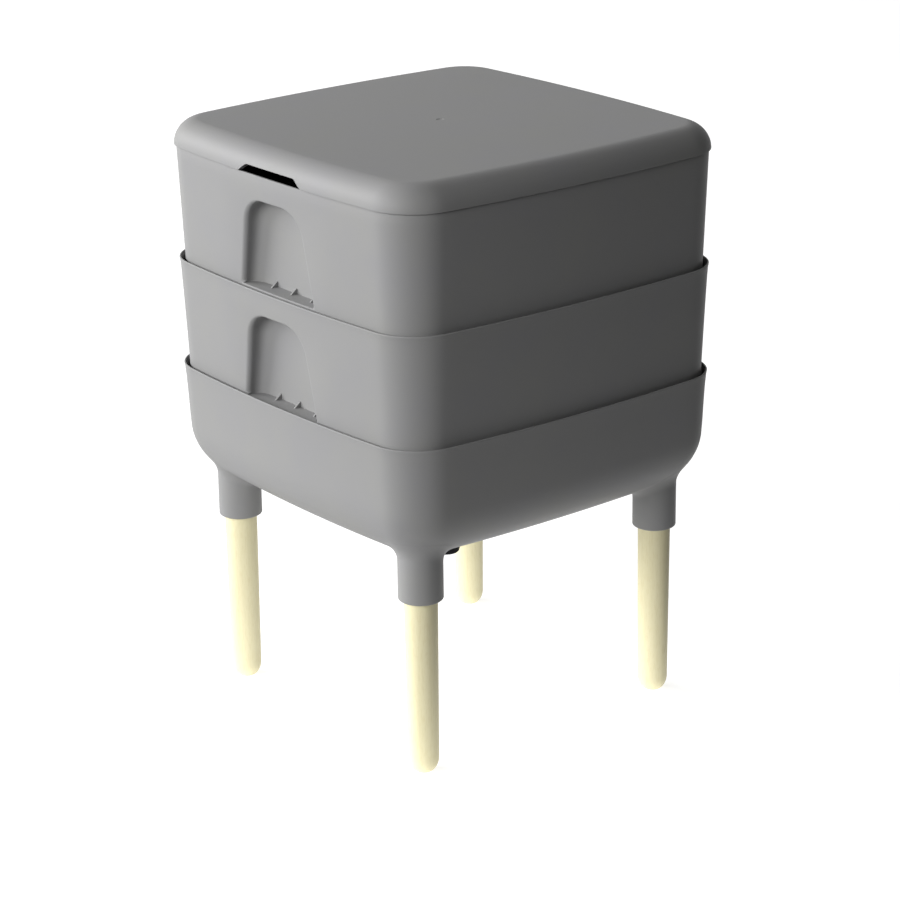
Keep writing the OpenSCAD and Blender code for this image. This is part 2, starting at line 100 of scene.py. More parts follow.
def add(tree, kind, settings=None, **inputs):
    """Adds a node; an input is a value or another node's output."""
    node = tree.nodes.new(kind)
    for name, value in (settings or {}).items():
        setattr(node, name, value)
    for name, value in inputs.items():
        socket = node.inputs[name.replace("_", " ")]
        if isinstance(value, bpy.types.NodeSocket):
            tree.links.new(value, socket)
        else:
            socket.default_value = value
    return node


def material(name, shown, **surface):
    """A named material with a bare surface shader."""
    finish = bpy.data.materials.new(name)
    finish.use_nodes = True
    finish.diffuse_color = linear(shown)
    shader = finish.node_tree.nodes["Principled BSDF"]
    for key, value in surface.items():
        shader.inputs[key.replace("_", " ")].default_value = value
    return finish, finish.node_tree, shader


def ramp(tree, factor, stops):
    """A colour ramp through stops of (place, sRGB hex)."""
    node = add(tree, "ShaderNodeValToRGB", Fac=factor)
    bar = node.color_ramp
    while len(bar.elements) < len(stops):
        bar.elements.new(0.5)
    for element, (place, colour) in zip(bar.elements, stops):
        element.position = place
        element.color = linear(colour)
    return node.outputs["Color"]


def per_mm(size):
    """The texture scale whose features are about this many millimetres across."""
    return 1 / (size * MM)


# %% [markdown]
# ### Grey polypropylene
# The shells are injection moulded polypropylene, coloured mid grey in the mass. The mould
# is spark eroded to a fine matt grain, so the surface has a broad soft highlight. The real
# grain is about a tenth of a millimetre; it is drawn at 0.7 mm, because a finer one would
# not show at all. Flow and handling leave a barely visible cloudiness some 55 mm across.
# One noise drives both the tone and the gloss of that cloudiness, so the two agree.

# %% Grey polypropylene
def grey_polypropylene():
    """Matt moulded grey: faint clouds in tone and gloss, and a fine grain as bump."""
    finish, tree, shader = material("moulded_polypropylene_grey", "#7e7e7e",
                                    Roughness=0.55, IOR=1.49, Specular_IOR_Level=0.2)
    place = add(tree, "ShaderNodeTexCoord").outputs["Object"]
    cloud = add(tree, "ShaderNodeTexNoise", Vector=place, Scale=per_mm(55), Detail=3.0, Roughness=0.55)
    tone = ramp(tree, cloud.outputs["Fac"], [(0.3, "#7d7d7e"), (0.7, "#7f7f7e")])
    tree.links.new(tone, shader.inputs["Base Color"])
    gloss = add(tree, "ShaderNodeMapRange", Value=cloud.outputs["Fac"], **{
        "From_Min": 0.3, "From_Max": 0.7, "To_Min": 0.54, "To_Max": 0.56})
    tree.links.new(gloss.outputs["Result"], shader.inputs["Roughness"])
    grain = add(tree, "ShaderNodeTexNoise", Vector=place, Scale=per_mm(0.7), Detail=2.0, Roughness=0.6)
    bump = add(tree, "ShaderNodeBump", Strength=0.12, Distance=0.05 * MM, Height=grain.outputs["Fac"])
    tree.links.new(bump.outputs["Normal"], shader.inputs["Normal"])
    return finish


# %% [markdown]
# ### Turned beech
# The legs are pale wood, turned on a lathe and only sealed. Turning cuts through the growth
# layers lengthways, so the grain runs along the leg as long faint streaks some 5 mm apart,
# with short flecks just under a millimetre wide between them. A wave texture could draw the
# streaks, but it repeats; noise that is stretched along the leg doesn't.

# %% Turned wood
def turned_wood():
    """Pale turned beech: long streaks in tone, short flecks over them and in the bump."""
    finish, tree, shader = material("turned_pale_beech", "#d2cba8", Roughness=0.5, IOR=1.5,
                                    Specular_IOR_Level=0.15)
    place = add(tree, "ShaderNodeTexCoord").outputs["Object"]
    drawn = add(tree, "ShaderNodeMapping", Vector=place, Scale=(1, 1, 0.045))
    streak = add(tree, "ShaderNodeTexNoise", Vector=drawn.outputs["Vector"],
                 Scale=per_mm(5), Detail=5.0, Roughness=0.6, Distortion=0.4)
    tone = ramp(tree, streak.outputs["Fac"],
                [(0.25, "#cfc8a4"), (0.45, "#d3cca9"), (0.6, "#d5ceac"), (0.8, "#d1caa7")])
    short = add(tree, "ShaderNodeMapping", Vector=place, Scale=(1, 1, 0.12))
    fleck = add(tree, "ShaderNodeTexNoise", Vector=short.outputs["Vector"],
                Scale=per_mm(0.9), Detail=2.0, Roughness=0.5)
    mark = ramp(tree, fleck.outputs["Fac"], [(0.35, "#f8f5ec"), (0.5, "#ffffff")])
    mixed = add(tree, "ShaderNodeMix", {"data_type": "RGBA", "blend_type": "MULTIPLY"})
    mixed.inputs[0].default_value = 0.6
    tree.links.new(tone, mixed.inputs[6])
    tree.links.new(mark, mixed.inputs[7])
    tree.links.new(mixed.outputs[2], shader.inputs["Base Color"])
    bump = add(tree, "ShaderNodeBump", Strength=0.15, Distance=0.08 * MM, Height=fleck.outputs["Fac"])
    tree.links.new(bump.outputs["Normal"], shader.inputs["Normal"])
    return finish


# %% [markdown]
# ### Black polypropylene, rubber and zinc plate
# The tap is black polypropylene with the same matt mould face as the shells. Its seals are
# nitrile rubber, darker still and without any shine, and with a faint bloom. The screw and
# washer that hold the plug are zinc plated steel, whose bright plating is slightly cloudy.
# All three are small, so one noise each is enough.

# %% Tap finishes
def black_polypropylene():
    """Matt moulded black with a fine grain."""
    finish, tree, shader = material("moulded_polypropylene_black", "#121214", Roughness=0.6, IOR=1.49,
                                    Specular_IOR_Level=0.08)
    place = add(tree, "ShaderNodeTexCoord").outputs["Object"]
    grain = add(tree, "ShaderNodeTexNoise", Vector=place, Scale=per_mm(0.6), Detail=2.0)
    tone = ramp(tree, grain.outputs["Fac"], [(0.3, "#101012"), (0.7, "#141416")])
    tree.links.new(tone, shader.inputs["Base Color"])
    bump = add(tree, "ShaderNodeBump", Strength=0.1, Distance=0.04 * MM, Height=grain.outputs["Fac"])
    tree.links.new(bump.outputs["Normal"], shader.inputs["Normal"])
    return finish


def seal_rubber():
    """Matt black rubber with a faint bloom."""
    finish, tree, shader = material("nitrile_rubber_black", "#18181a", Roughness=0.75, IOR=1.52)
    place = add(tree, "ShaderNodeTexCoord").outputs["Object"]
    bloom = add(tree, "ShaderNodeTexNoise", Vector=place, Scale=per_mm(4), Detail=3.0)
    tone = ramp(tree, bloom.outputs["Fac"], [(0.3, "#161617"), (0.7, "#1f1f20")])
    tree.links.new(tone, shader.inputs["Base Color"])
    return finish


def zinc_plate():
    """Bright plated steel, cloudy in tone and gloss."""
    finish, tree, shader = material("zinc_plated_steel", "#c6c9cc", Metallic=1.0, Roughness=0.3)
    place = add(tree, "ShaderNodeTexCoord").outputs["Object"]
    bloom = add(tree, "ShaderNodeTexNoise", Vector=place, Scale=per_mm(3), Detail=3.0)
    tone = ramp(tree, bloom.outputs["Fac"], [(0.3, "#c0c4c8"), (0.7, "#cfd1d2")])
    tree.links.new(tone, shader.inputs["Base Color"])
    gloss = add(tree, "ShaderNodeMapRange", Value=bloom.outputs["Fac"], **{
        "From_Min": 0.3, "From_Max": 0.7, "To_Min": 0.24, "To_Max": 0.36})
    tree.links.new(gloss.outputs["Result"], shader.inputs["Roughness"])
    return finish


FINISH = {"grey_plastic": grey_polypropylene(), "turned_wood": turned_wood(),
          "black_plastic": black_polypropylene(), "seal_rubber": seal_rubber(),
          "plated_steel": zinc_plate()}
for entry in frame["record"]["subparts"]:
    node = frame["nodes"][entry["node"]]
    node.data.materials.clear()
    node.data.materials.append(FINISH[entry["material_slot"]])
print("finishes:", sorted(FINISH))

# %% [markdown]
# ## The outline that all the shells share
# Seen from above, each shell is a square whose sides bow out a little and whose corners are
# round. Four long arcs and four short ones meet in line with each other. It could be a cube
# with bevelled edges, but then the bow would be missing and the corners would be the same
# all the way down. A ring of points on the true outline, at some height, is the unit that
# every shell is built from instead.

# %% Bowed square outline
RIM_HALF, CORNER_R, BOW_R = 187.2, 46, 1711
TAPER = 0.038
WALL = 2.4


def outline(half, corner, bow, height, grain=(28, 14, 28)):
    """A ring of points on the bowed square; grain is the steps along X sides, corners, Y sides."""
    centre, reach = half - bow, bow - corner
    meet = (centre + math.sqrt(2 * reach ** 2 - centre ** 2)) / 2
    lean = math.atan2(meet, meet - centre)
    ring = []
    for side in range(4):
        steps = grain[2 * (side % 2)]
        points = []
        for i in range(steps):
            angle = lean * (2 * i / steps - 1)
            points.append((centre + bow * math.cos(angle), bow * math.sin(angle)))
        for i in range(grain[1]):
            angle = lean + (math.pi / 2 - 2 * lean) * i / grain[1]
            points.append((meet + corner * math.cos(angle), meet + corner * math.sin(angle)))
        for x, y in points:
            for _ in range(side):
                x, y = -y, x
            ring.append(Vector((x, y, height)) * MM)
    return ring


def inside_rim(depth, height, grain=(28, 14, 28)):
    """The rim outline moved in by a depth, at a height."""
    return outline(RIM_HALF - depth, CORNER_R - depth, BOW_R - depth, height, grain)


def arc(x, y, radius, start, end, steps):
    """Points on an arc, angles in degrees."""
    angles = [math.radians(start + (end - start) * i / steps) for i in range(steps + 1)]
    return [(x + radius * math.cos(a), y + radius * math.sin(a)) for a in angles]


print("a ring of the rim outline has", len(inside_rim(0, 0)), "points and is", 2 * RIM_HALF, "mm wide")

# %% [markdown]
# ## Building by rings
# Each shell starts as a plain circle. Its points are laid on the first ring and the circle's
# edge is extruded again and again, each new edge laid on the next ring, like raising a
# basket. Filled ends close it. Turned pieces are raised the same way from round rings. A
# screw or a solidify modifier could do parts of this, but with rings every draft, edge
# radius and wall thickness is a number in the profile.

# %% Ring helpers
def lay(piece, ring):
    """Lays the selected points, in the order they were made, on a ring."""
    mesh = bmesh.from_edit_mesh(piece.data)
    for point, place in zip([v for v in mesh.verts if v.select], ring):
        point.co = place
    bmesh.update_edit_mesh(piece.data)


def raise_rings(name, rings):
    """Adds a circle, extrudes it through all the rings, closes both ends and faces it outward."""
    bpy.ops.object.select_all(action="DESELECT")
    bpy.ops.mesh.primitive_circle_add(vertices=len(rings[0]), enter_editmode=True)
    piece = bpy.context.object
    piece.name = piece.data.name = name
    lay(piece, rings[0])
    for ring in rings[1:]:
        bpy.ops.mesh.extrude_region_move()
        lay(piece, ring)
    bpy.ops.mesh.select_all(action="SELECT")
    bpy.ops.mesh.fill_holes(sides=0)
    bpy.ops.mesh.select_all(action="SELECT")
    bpy.ops.mesh.normals_make_consistent(inside=False)
    bpy.ops.object.mode_set(mode="OBJECT")
    return piece


def round_ring(x, y, radius, height, steps=64):
    """A level round ring."""
    return [Vector((x + radius * math.cos(2 * math.pi * i / steps),
                    y + radius * math.sin(2 * math.pi * i / steps), height)) * MM for i in range(steps)]


def turned(name, profile, x=0, y=0, steps=64):
    """A turned piece from a profile of (radius, height)."""
    return raise_rings(name, [round_ring(x, y, r, z, steps) for r, z in profile])


# %% [markdown]
# ## Cutting, joining and dressing
# Rooms, bores and notches are cut with exact booleans, because they meet curved walls that
# no extrusion could follow. What repeats is joined first, so that one cut does it all. A
# finished piece gets smooth shading up to an angle, its finish, the node whose place it
# takes and the body that it moves with.

# %% Piece helpers
def combine(piece, tool, how):
    """Joins a tool to the piece or cuts the piece with it, and removes the tool."""
    bpy.ops.object.select_all(action="DESELECT")
    bpy.context.view_layer.objects.active = piece
    piece.select_set(True)
    step = piece.modifiers.new("combine", "BOOLEAN")
    step.operation, step.solver, step.object = how, "EXACT", tool
    bpy.ops.object.modifier_apply(modifier=step.name)
    bpy.data.objects.remove(tool)


def joined(name, pieces):
    """Several closed pieces as one object."""
    bpy.ops.object.select_all(action="DESELECT")
    for piece in pieces:
        piece.select_set(True)
    bpy.context.view_layer.objects.active = pieces[0]
    bpy.ops.object.join()
    whole = bpy.context.object
    whole.name = whole.data.name = name
    return whole


def smooth(piece, degrees=32):
    """Smooth shading that keeps the edges sharper than an angle."""
    bpy.ops.object.select_all(action="DESELECT")
    piece.select_set(True)
    bpy.context.view_layer.objects.active = piece
    bpy.ops.object.shade_smooth_by_angle(angle=math.radians(degrees))


def dress(piece, node, slot, body, degrees=32):
    """Finishes a piece and puts it in the place of its node."""
    smooth(piece, degrees)
    piece.data.materials.clear()
    piece.data.materials.append(FINISH[slot])
    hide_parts(node)
    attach(piece, body)


# %% [markdown]
# ## The trays
# A tray is one moulding: a drafted wall, a perforated floor and two hand pockets. The outer
# body is raised first, with fine rows and columns where the pockets come. Then a patch of
# the wall is taken out on each side, and the edge of that hole is extruded inwards: over the
# soft edge of the mouth, down the dished sides and onto the flat back. A boolean could sink
# the pocket in one step, but it leaves long thin faces at the mouth, just where a soft edge
# has to catch the light.

# %% Tray and pocket sizes
TRAY_H, EDGE_R, FILLET_R = 121.3, 1.5, 2.5
SWING, BEAD_RUN, BEAD_OUT, BEAD_R = 0.9, 7.0, 0.6, 0.7
LEDGE_H, ROOF_H = 18.1, 100.9
POCKET_HALF, POCKET_BACK, POCKET_CORNER_R, POCKET_SLOPE = 51, 166.5, 27, 0.18
DISH_W, DISH_POWER, MOUTH_DROP = 29, 3.0, 2.0
ROOF_BLEND_R, POCKET_SHIFT = 7, 0.7
MOUTH_SIDE_R, MOUTH_ROOF_R, MOUTH_LEDGE_R = 4.5, 2.0, 0.8
FINE = (84, 16, 28)
PATCH_LOW, PATCH_HIGH, PATCH_ROWS = 12, 110, 32
PATCH_HALF, PATCH_BEYOND_X = 76, 150
LOWER_TRAY_Z, UPPER_TRAY_Z, UPPER_RIM_UP = 295.2, 398.6, 0.1


def tray_depth(z, swing=0):
    """How far in from the rim outline the wall is; a beaded tray swings out towards its rim."""
    return TAPER * (TRAY_H - z) - swing * (z / TRAY_H) ** 2


def wall_x(y, z, swing=0):
    """Where the outer face of an X wall is, z counted from the tray's underside."""
    return RIM_HALF - BOW_R + math.sqrt((BOW_R - tray_depth(z, swing)) ** 2 - y ** 2)


print("a tray is", round(2 * wall_x(0, 0), 1), "mm wide at its foot and",
      round(2 * wall_x(0, TRAY_H), 1), "at its rim")

# %% [markdown]
# ### The arch of a pocket
# Looked at from the side, a hand pocket is a U turned over: two legs that lean in, two
# round shoulders and a flat roof that carries the tray above. The same arch is needed at
# many depths, narrower each time, and once more for the wall behind it. So it is a function
# of how far the sides and the roof have come in and how much it is grown.

# %% The arch and the dish
SHOULDER_KEPT, TRAY_MIDDLE = 8, 60


def arch(side_in, top_in, grow, low):
    """The U of a pocket from its right foot over the roof to its left foot."""
    slope = math.atan(POCKET_SLOPE)
    roof = ROOF_H - top_in + grow
    r = POCKET_CORNER_R * (1 - side_in / (POCKET_HALF - SHOULDER_KEPT)) + grow
    low_half = POCKET_HALF - side_in + grow / math.cos(slope) + (LEDGE_H - low) * POCKET_SLOPE
    top_half = low_half - (roof - low) * POCKET_SLOPE
    yc = top_half - r * (1 - math.sin(slope)) / math.cos(slope)
    b = math.degrees(slope)
    return ([(low_half, low)] + arc(yc, roof - r, r, b, 90, 24)
            + arc(-yc, roof - r, r, 90, 180 - b, 24) + [(-low_half, low)])


def along(line, share):
    """The point at a share of the length of a line of points."""
    lengths = [math.dist(p, q) for p, q in zip(line, line[1:])]
    left = share * sum(lengths)
    for (p, q), length in zip(zip(line, line[1:]), lengths):
        if left <= length or q is line[-1]:
            t = min(left / length, 1)
            return p[0] + (q[0] - p[0]) * t, p[1] + (q[1] - p[1]) * t
        left -= length


def drawn_in(u, r):
    """How far a rounded edge of a radius has come in, at a distance from the flat it meets."""
    return r - math.sqrt(r * r - (r - u) ** 2) if u < r else 0


def pocket_depth():
    """From the inner end of the mouth's soft side to the back."""
    return wall_x(POCKET_HALF, TRAY_MIDDLE) - MOUTH_SIDE_R - POCKET_BACK


def dish(u, depth):
    """How far the side of the pocket has come in, at a distance from its back."""
    s = min(max(1 - u / depth, 0), 1)
    return DISH_W * (1 - (1 - s ** DISH_POWER) ** (1 / DISH_POWER))


print("a pocket's sides run in over", round(pocket_depth(), 1), "mm of depth and come in by",
      DISH_W, "mm")

# %% [markdown]
# ### Rings of a pocket
# The mouth edge is softest at the sides of the pocket and tighter along its roof and ledge,
# so the radius of the edge is worked out for each point of the ring. A bevel has one width
# all round and couldn't do that. A ring is then given by how far it has gone over the edge,
# and after that by how near it is to the back.

# %% Pocket rings
ROOF_SHARE = 0.16
POCKET_STEPS = ([(lap, 0) for lap in (0, 15, 30, 45, 60, 75, 90)]
                + [(90, reach) for reach in (0.16, 0.3, 0.43, 0.55, 0.66, 0.76,
                                             0.84, 0.9, 0.945, 0.975, 0.992, 1)])


def mouth_radius(share):
    """Edge radius along the U: soft at the sides, tight over the roof."""
    over_roof = math.exp(-((share - 0.5) / ROOF_SHARE) ** 4)
    return MOUTH_SIDE_R + (MOUTH_ROOF_R - MOUTH_SIDE_R) * over_roof


def pocket_point(kind, share, lap, reach, swing):
    """A point of the pocket.

    lap is its turn over the mouth's edge in degrees, reach its share of the way to the back.
    """
    t = math.radians(lap)
    edge = MOUTH_LEDGE_R if kind == "ledge" else mouth_radius(share)
    out, low = edge * (1 - math.sin(t)), LEDGE_H - MOUTH_LEDGE_R * (1 - math.sin(t))
    side_edge = MOUTH_SIDE_R * (1 - math.sin(t))
    x = wall_x(0, TRAY_MIDDLE) - edge * (1 - math.cos(t))
    deep = pocket_depth()
    for _ in range(4):
        u = max(x - POCKET_BACK, 0)
        side_in = dish(u, deep) if t > 1.57 else 0
        if kind == "ledge":
            foot = arch(side_in, 0, side_edge, low)[0][0]
            y, z = foot * (2 * share - 1), low
        else:
            y, z = along(arch(side_in, MOUTH_DROP + drawn_in(u, ROOF_BLEND_R), out, low), share)
        y += POCKET_SHIFT
        start = wall_x(y, z, swing) - edge * (1 - math.cos(t))
        x = start + (POCKET_BACK - start) * reach
    return x, y, z


def patch_share(y, z, half):
    """Where a point of the hole's edge lies: on the ledge side, or at a share of the U above it."""
    if z < PATCH_LOW + 0.01:
        return "ledge", (y / half + 1) / 2
    side, span = z - PATCH_LOW, PATCH_HIGH - PATCH_LOW
    total = 2 * span + 2 * half
    if abs(y) > half - 0.01 and z < PATCH_HIGH - 0.01:
        return "arch", side / total if y > 0 else 1 - side / total
    return "arch", (span + half - y) / total


print("a pocket is raised in", len(POCKET_STEPS), "rings")

# %% [markdown]
# ### Sinking a pocket
# The faces of the patch are chosen by their place and deleted. The hole's edge is then
# selected as the open edge of the mesh. Each of its points is told where on the ledge or
# the arch it belongs, and keeps that share through all the rings. Extruding can change the
# order in which a mesh keeps its points, so they are found again by their place.

# %% Sink a pocket
SAME_TURN = 1e-5


def bow_angle(p):
    """The turn of a point along the bow of the X side."""
    return math.atan2(p.y, p.x + BOW_R - RIM_HALF)


def spot_key(point):
    """A point's place as whole hundredths of a micrometre, by which it is found again."""
    return tuple(round(c * 1e8) for c in point.co)


def sink_pocket(piece, base, turned_round, swing):
    """Takes a patch out of one X wall and extrudes its edge into a hand pocket."""
    way = -1 if turned_round else 1
    bpy.ops.object.select_all(action="DESELECT")
    bpy.context.view_layer.objects.active = piece
    piece.select_set(True)
    bpy.ops.object.mode_set(mode="EDIT")
    bpy.ops.mesh.select_mode(type="FACE")
    bpy.ops.mesh.select_all(action="DESELECT")
    mesh = bmesh.from_edit_mesh(piece.data)
    for face in mesh.faces:
        middle = face.calc_center_median() / MM
        face.select_set(middle.x * way > PATCH_BEYOND_X and abs(middle.y) < PATCH_HALF
                        and PATCH_LOW < middle.z - base < PATCH_HIGH)
    bmesh.update_edit_mesh(piece.data)
    bpy.ops.mesh.delete(type="FACE")
    bpy.ops.mesh.select_mode(type="EDGE")
    bpy.ops.mesh.select_non_manifold()
    bpy.ops.mesh.select_mode(type="VERT")
    mesh = bmesh.from_edit_mesh(piece.data)
    edge = {spot_key(v): v.co / MM * way for v in mesh.verts if v.select}
    half = max(p.y for p in edge.values())
    widest = max(bow_angle(p) for p in edge.values())
    spots = {}
    for key, p in edge.items():
        y = math.copysign(half, p.y) if abs(abs(bow_angle(p)) - widest) < SAME_TURN else p.y
        spots[key] = patch_share(y, p.z * way - base, half)
    for lap, reach in POCKET_STEPS:
        bpy.ops.mesh.extrude_region_move()
        mesh = bmesh.from_edit_mesh(piece.data)
        laid = {}
        for point in [v for v in mesh.verts if v.select]:
            spot = spots[spot_key(point)]
            x, y, z = pocket_point(*spot, lap, reach, swing)
            point.co = Vector((x * way, y * way, z + base)) * MM
            laid[spot_key(point)] = spot
        spots = laid
        bmesh.update_edit_mesh(piece.data)
    bpy.ops.mesh.edge_face_add()
    bpy.ops.mesh.select_all(action="SELECT")
    bpy.ops.mesh.normals_make_consistent(inside=False)
    bpy.ops.object.mode_set(mode="OBJECT")


# %% [markdown]
# ### The box behind a pocket
# Inside the tray the pocket shows as a box against the wall. It is the pocket's own form
# grown by the wall thickness, and the tray above stands on its flat roof. The room inside the
# tray is raised as a solid, the two boxes are cut out of it, and what is left is cut out of
# the outer body, so every wall keeps its thickness. A solidify modifier would fold over
# itself in the tight corners of the ledge.

# %% Pocket box
BOX_STEPS = (2.2, 1, 0.8, 0.6, 0.42, 0.27, 0.15, 0.07, 0.02, 0)
BOX_LOW, BOX_EXTRA = 1, 0.6


def pocket_box(base, turned_round):
    """The pocket grown by the wall, from outside the wall to its back."""
    way = -1 if turned_round else 1
    rings = []
    deep, back = pocket_depth() + WALL, POCKET_BACK - WALL
    for share in BOX_STEPS:
        u = deep * share
        line = arch(dish(u, deep), drawn_in(u, ROOF_BLEND_R + WALL), WALL + BOX_EXTRA, BOX_LOW)
        rings.append([Vector(((back + u) * way, (y + POCKET_SHIFT) * way, z + base)) * MM
                      for y, z in line])
    return raise_rings("pocket_box", rings)


# %% [markdown]
# ### Drain holes, ledge hollows and gussets
# The floor is a sieve of 5 mm holes, 15 rows of 15. One cylinder is repeated by two array
# modifiers and cuts them all at once. Under each ledge the moulding is hollow, as a real
# one must be, or the thick plastic would sink as it cools. Three small gussets stiffen the
# corner between the ledge and the pocket's back.

# %% Drain holes, ledge hollows and gussets
HOLE_D, HOLE_PITCH, HOLES = 5, 21, 15
GUSSET_REACH, GUSSET_H, GUSSET_T, GUSSET_PITCH, GUSSET_SHIFT = 6.8, 5, 1.8, 28.6, -7.5
GUSSET_SUNK, HOLLOW_R, HOLLOW_BELOW = 0.6, 25, 3


def floor_drill(base):
    """All the drain hole cutters as one object: a cylinder repeated along X and then Y."""
    reach = (HOLES - 1) / 2 * HOLE_PITCH
    bpy.ops.object.select_all(action="DESELECT")
    bpy.ops.mesh.primitive_cylinder_add(vertices=20, radius=HOLE_D / 2 * MM, depth=3 * WALL * MM,
                                        location=Vector((-reach, -reach, base + WALL / 2)) * MM)
    drill = bpy.context.object
    bpy.ops.object.transform_apply(location=True)
    for axis in range(2):
        row = drill.modifiers.new("row", "ARRAY")
        row.count = HOLES
        row.use_relative_offset, row.use_constant_offset = False, True
        row.constant_offset_displace = [HOLE_PITCH * MM if i == axis else 0 for i in range(3)]
        bpy.ops.object.modifier_apply(modifier=row.name)
    return drill


def ledge_hollow(base, turned_round):
    """The space under a ledge, open from below."""
    way = -1 if turned_round else 1
    flat_half, out_x = POCKET_HALF - HOLLOW_R, wall_x(POCKET_HALF, 0) - WALL
    turn = math.degrees(math.acos(1 - (out_x - POCKET_BACK) / HOLLOW_R))
    line = (arc(POCKET_BACK + HOLLOW_R, flat_half, HOLLOW_R, 180 - turn, 180, 10)
            + arc(POCKET_BACK + HOLLOW_R, -flat_half, HOLLOW_R, 180, 180 + turn, 10))
    return raise_rings("ledge_hollow", [[Vector((x * way, y * way, base + z)) * MM for x, y in line]
                                        for z in (-HOLLOW_BELOW, LEDGE_H - WALL)])


def gusset(base, y, turned_round):
    """A small triangular rib between the ledge and the back of a pocket."""
    way = -1 if turned_round else 1
    x0, z0 = POCKET_BACK - GUSSET_SUNK, LEDGE_H - GUSSET_SUNK
    out, top = x0 + GUSSET_REACH + GUSSET_SUNK, z0 + GUSSET_H + GUSSET_SUNK
    line = [(x0, z0), (out, z0), (out, z0 + 0.8), (x0 + 1.1, top), (x0, top)]
    rings = [[Vector((x * way, (y + side * GUSSET_T / 2) * way, z + base)) * MM for x, z in line]
             for side in (-1, 1)]
    return raise_rings("gusset", rings)


print("a tray's floor has", HOLES ** 2, "drain holes,", HOLE_PITCH, "mm apart")

# %% [markdown]
# ### Rims
# The rim of the lower tray and of the bowl flares out a little over its last few
# millimetres and ends in a rolled edge, which is what draws the fine light line between the
# stacked shells. The two sides of the rim are profiles, and both shells use them.

# %% Rim profiles
def rim_line(edge, top):
    """The outer side of a beaded rim: a small flare and a rolled top edge."""
    flare = [(edge + TAPER * BEAD_RUN * (1 - t) - BEAD_OUT * t * t,
              top - BEAD_RUN + (BEAD_RUN - BEAD_R) * t) for t in (0, 0.25, 0.5, 0.75, 1)]
    return flare + arc(edge - BEAD_OUT + BEAD_R, top - BEAD_R, BEAD_R, 180, 90, 5)[1:]


def rim_inside(edge, top):
    """The inner side of a beaded rim, which thins towards its edge."""
    return ([(edge + WALL, top - 9), (edge + WALL - 0.5, top - 4)]
            + arc(edge + 0.4, top - 0.6, 0.6, 0, 90, 4))


# %% [markdown]
# ### Both trays
# The two trays come out of nearly the same mould. Only the rim differs: the upper tray ends
# in a plain edge that the lid covers. So one function makes both. It raises the outer body,
# sinks the pockets, cuts the room out, drills the floor and adds the gussets, in the order
# in which each step needs the one before.

# %% Make the trays
ROOM_ROWS, ROOM_ABOVE = (40, 80, 108), 3
PLAIN_EDGE_R = 0.4


def tray(name, base, top, beaded):
    """A whole tray, with its underside at base and its rim at top above that."""
    rows = [PATCH_LOW + (PATCH_HIGH - PATCH_LOW) * i / PATCH_ROWS for i in range(PATCH_ROWS + 1)]
    swing = SWING if beaded else 0
    edge = tray_depth(top, swing)
    if beaded:
        rim, inner_rim = rim_line(edge, top), rim_inside(edge, top)
    else:
        rim = arc(edge + PLAIN_EDGE_R, top - PLAIN_EDGE_R, PLAIN_EDGE_R, 180, 90, 3)
        inner_rim = arc(edge + WALL - PLAIN_EDGE_R, top - PLAIN_EDGE_R, PLAIN_EDGE_R, 0, 90, 3)
    foot = [(tray_depth(0) + EDGE_R - EDGE_R * math.sin(math.radians(a)),
             EDGE_R - EDGE_R * math.cos(math.radians(a))) for a in range(0, 91, 15)]
    profile = foot + [(tray_depth(z, swing), z) for z in rows] + rim
    body = raise_rings(name, [inside_rim(d, base + z, FINE) for d, z in profile])
    for turned_round in (False, True):
        sink_pocket(body, base, turned_round, swing)
    low = tray_depth(WALL) + WALL
    inner = ([(low + FILLET_R * (1 - math.cos(math.radians(a))),
               WALL + FILLET_R * (1 - math.sin(math.radians(a)))) for a in range(90, -1, -15)]
             + [(tray_depth(z, swing) + WALL, z) for z in ROOM_ROWS] + inner_rim)
    inner.append((inner[-1][0], top + ROOM_ABOVE))
    room = raise_rings("room", [inside_rim(d, base + z) for d, z in inner])
    for turned_round in (False, True):
        combine(room, pocket_box(base, turned_round), "DIFFERENCE")
    combine(body, room, "DIFFERENCE")
    cutters = [floor_drill(base)] + [ledge_hollow(base, t) for t in (False, True)]
    combine(body, joined("cutters", cutters), "DIFFERENCE")
    ribs = [gusset(base, -(GUSSET_SHIFT + i * GUSSET_PITCH), t)
            for i in (-1, 0, 1) for t in (False, True)]
    combine(body, joined("ribs", ribs), "UNION")
    return body


lower = tray("lower_tray_moulding", LOWER_TRAY_Z, TRAY_H, True)
dress(lower, "lower_tray", "grey_plastic", "lower_tray")
upper = tray("upper_tray_moulding", UPPER_TRAY_Z, TRAY_H + UPPER_RIM_UP, False)
dress(upper, "upper_tray", "grey_plastic", "upper_tray")

# %% [markdown]
# ## Ribs that carry the trays and the lid
# Small upright ribs stand square to the walls inside the bowl and under the lid. They could
# be thin boxes, but their feet follow the rounded shells. A helper finds a point beside the
# bowed wall by how far along the side, how deep in and how high it is, and a rib is a flat
# profile raised through its own thickness.

# %% Ribs along the sides
def beside(side, along_side, depth, across, height):
    """A point near a bowed side, measured from the rim outline inwards."""
    angle, reach = along_side / BOW_R, BOW_R - depth
    x = RIM_HALF - BOW_R + reach * math.cos(angle) - across * math.sin(angle)
    y = reach * math.sin(angle) + across * math.cos(angle)
    for _ in range(side):
        x, y = -y, x
    return Vector((x, y, height)) * MM


def side_ribs(places, thick, base, line):
    """One rib at each place of all four sides, from a profile of (depth, height)."""
    ribs = [raise_rings("rib", [[beside(side, place, d, half, base + z) for d, z in line]
                                for half in (-thick / 2, thick / 2)])
            for side in range(4) for place in places]
    return joined("ribs", ribs)


print("beside the middle of the first side:", [round(v / MM, 1) for v in beside(0, 0, 0, 0, 0)])

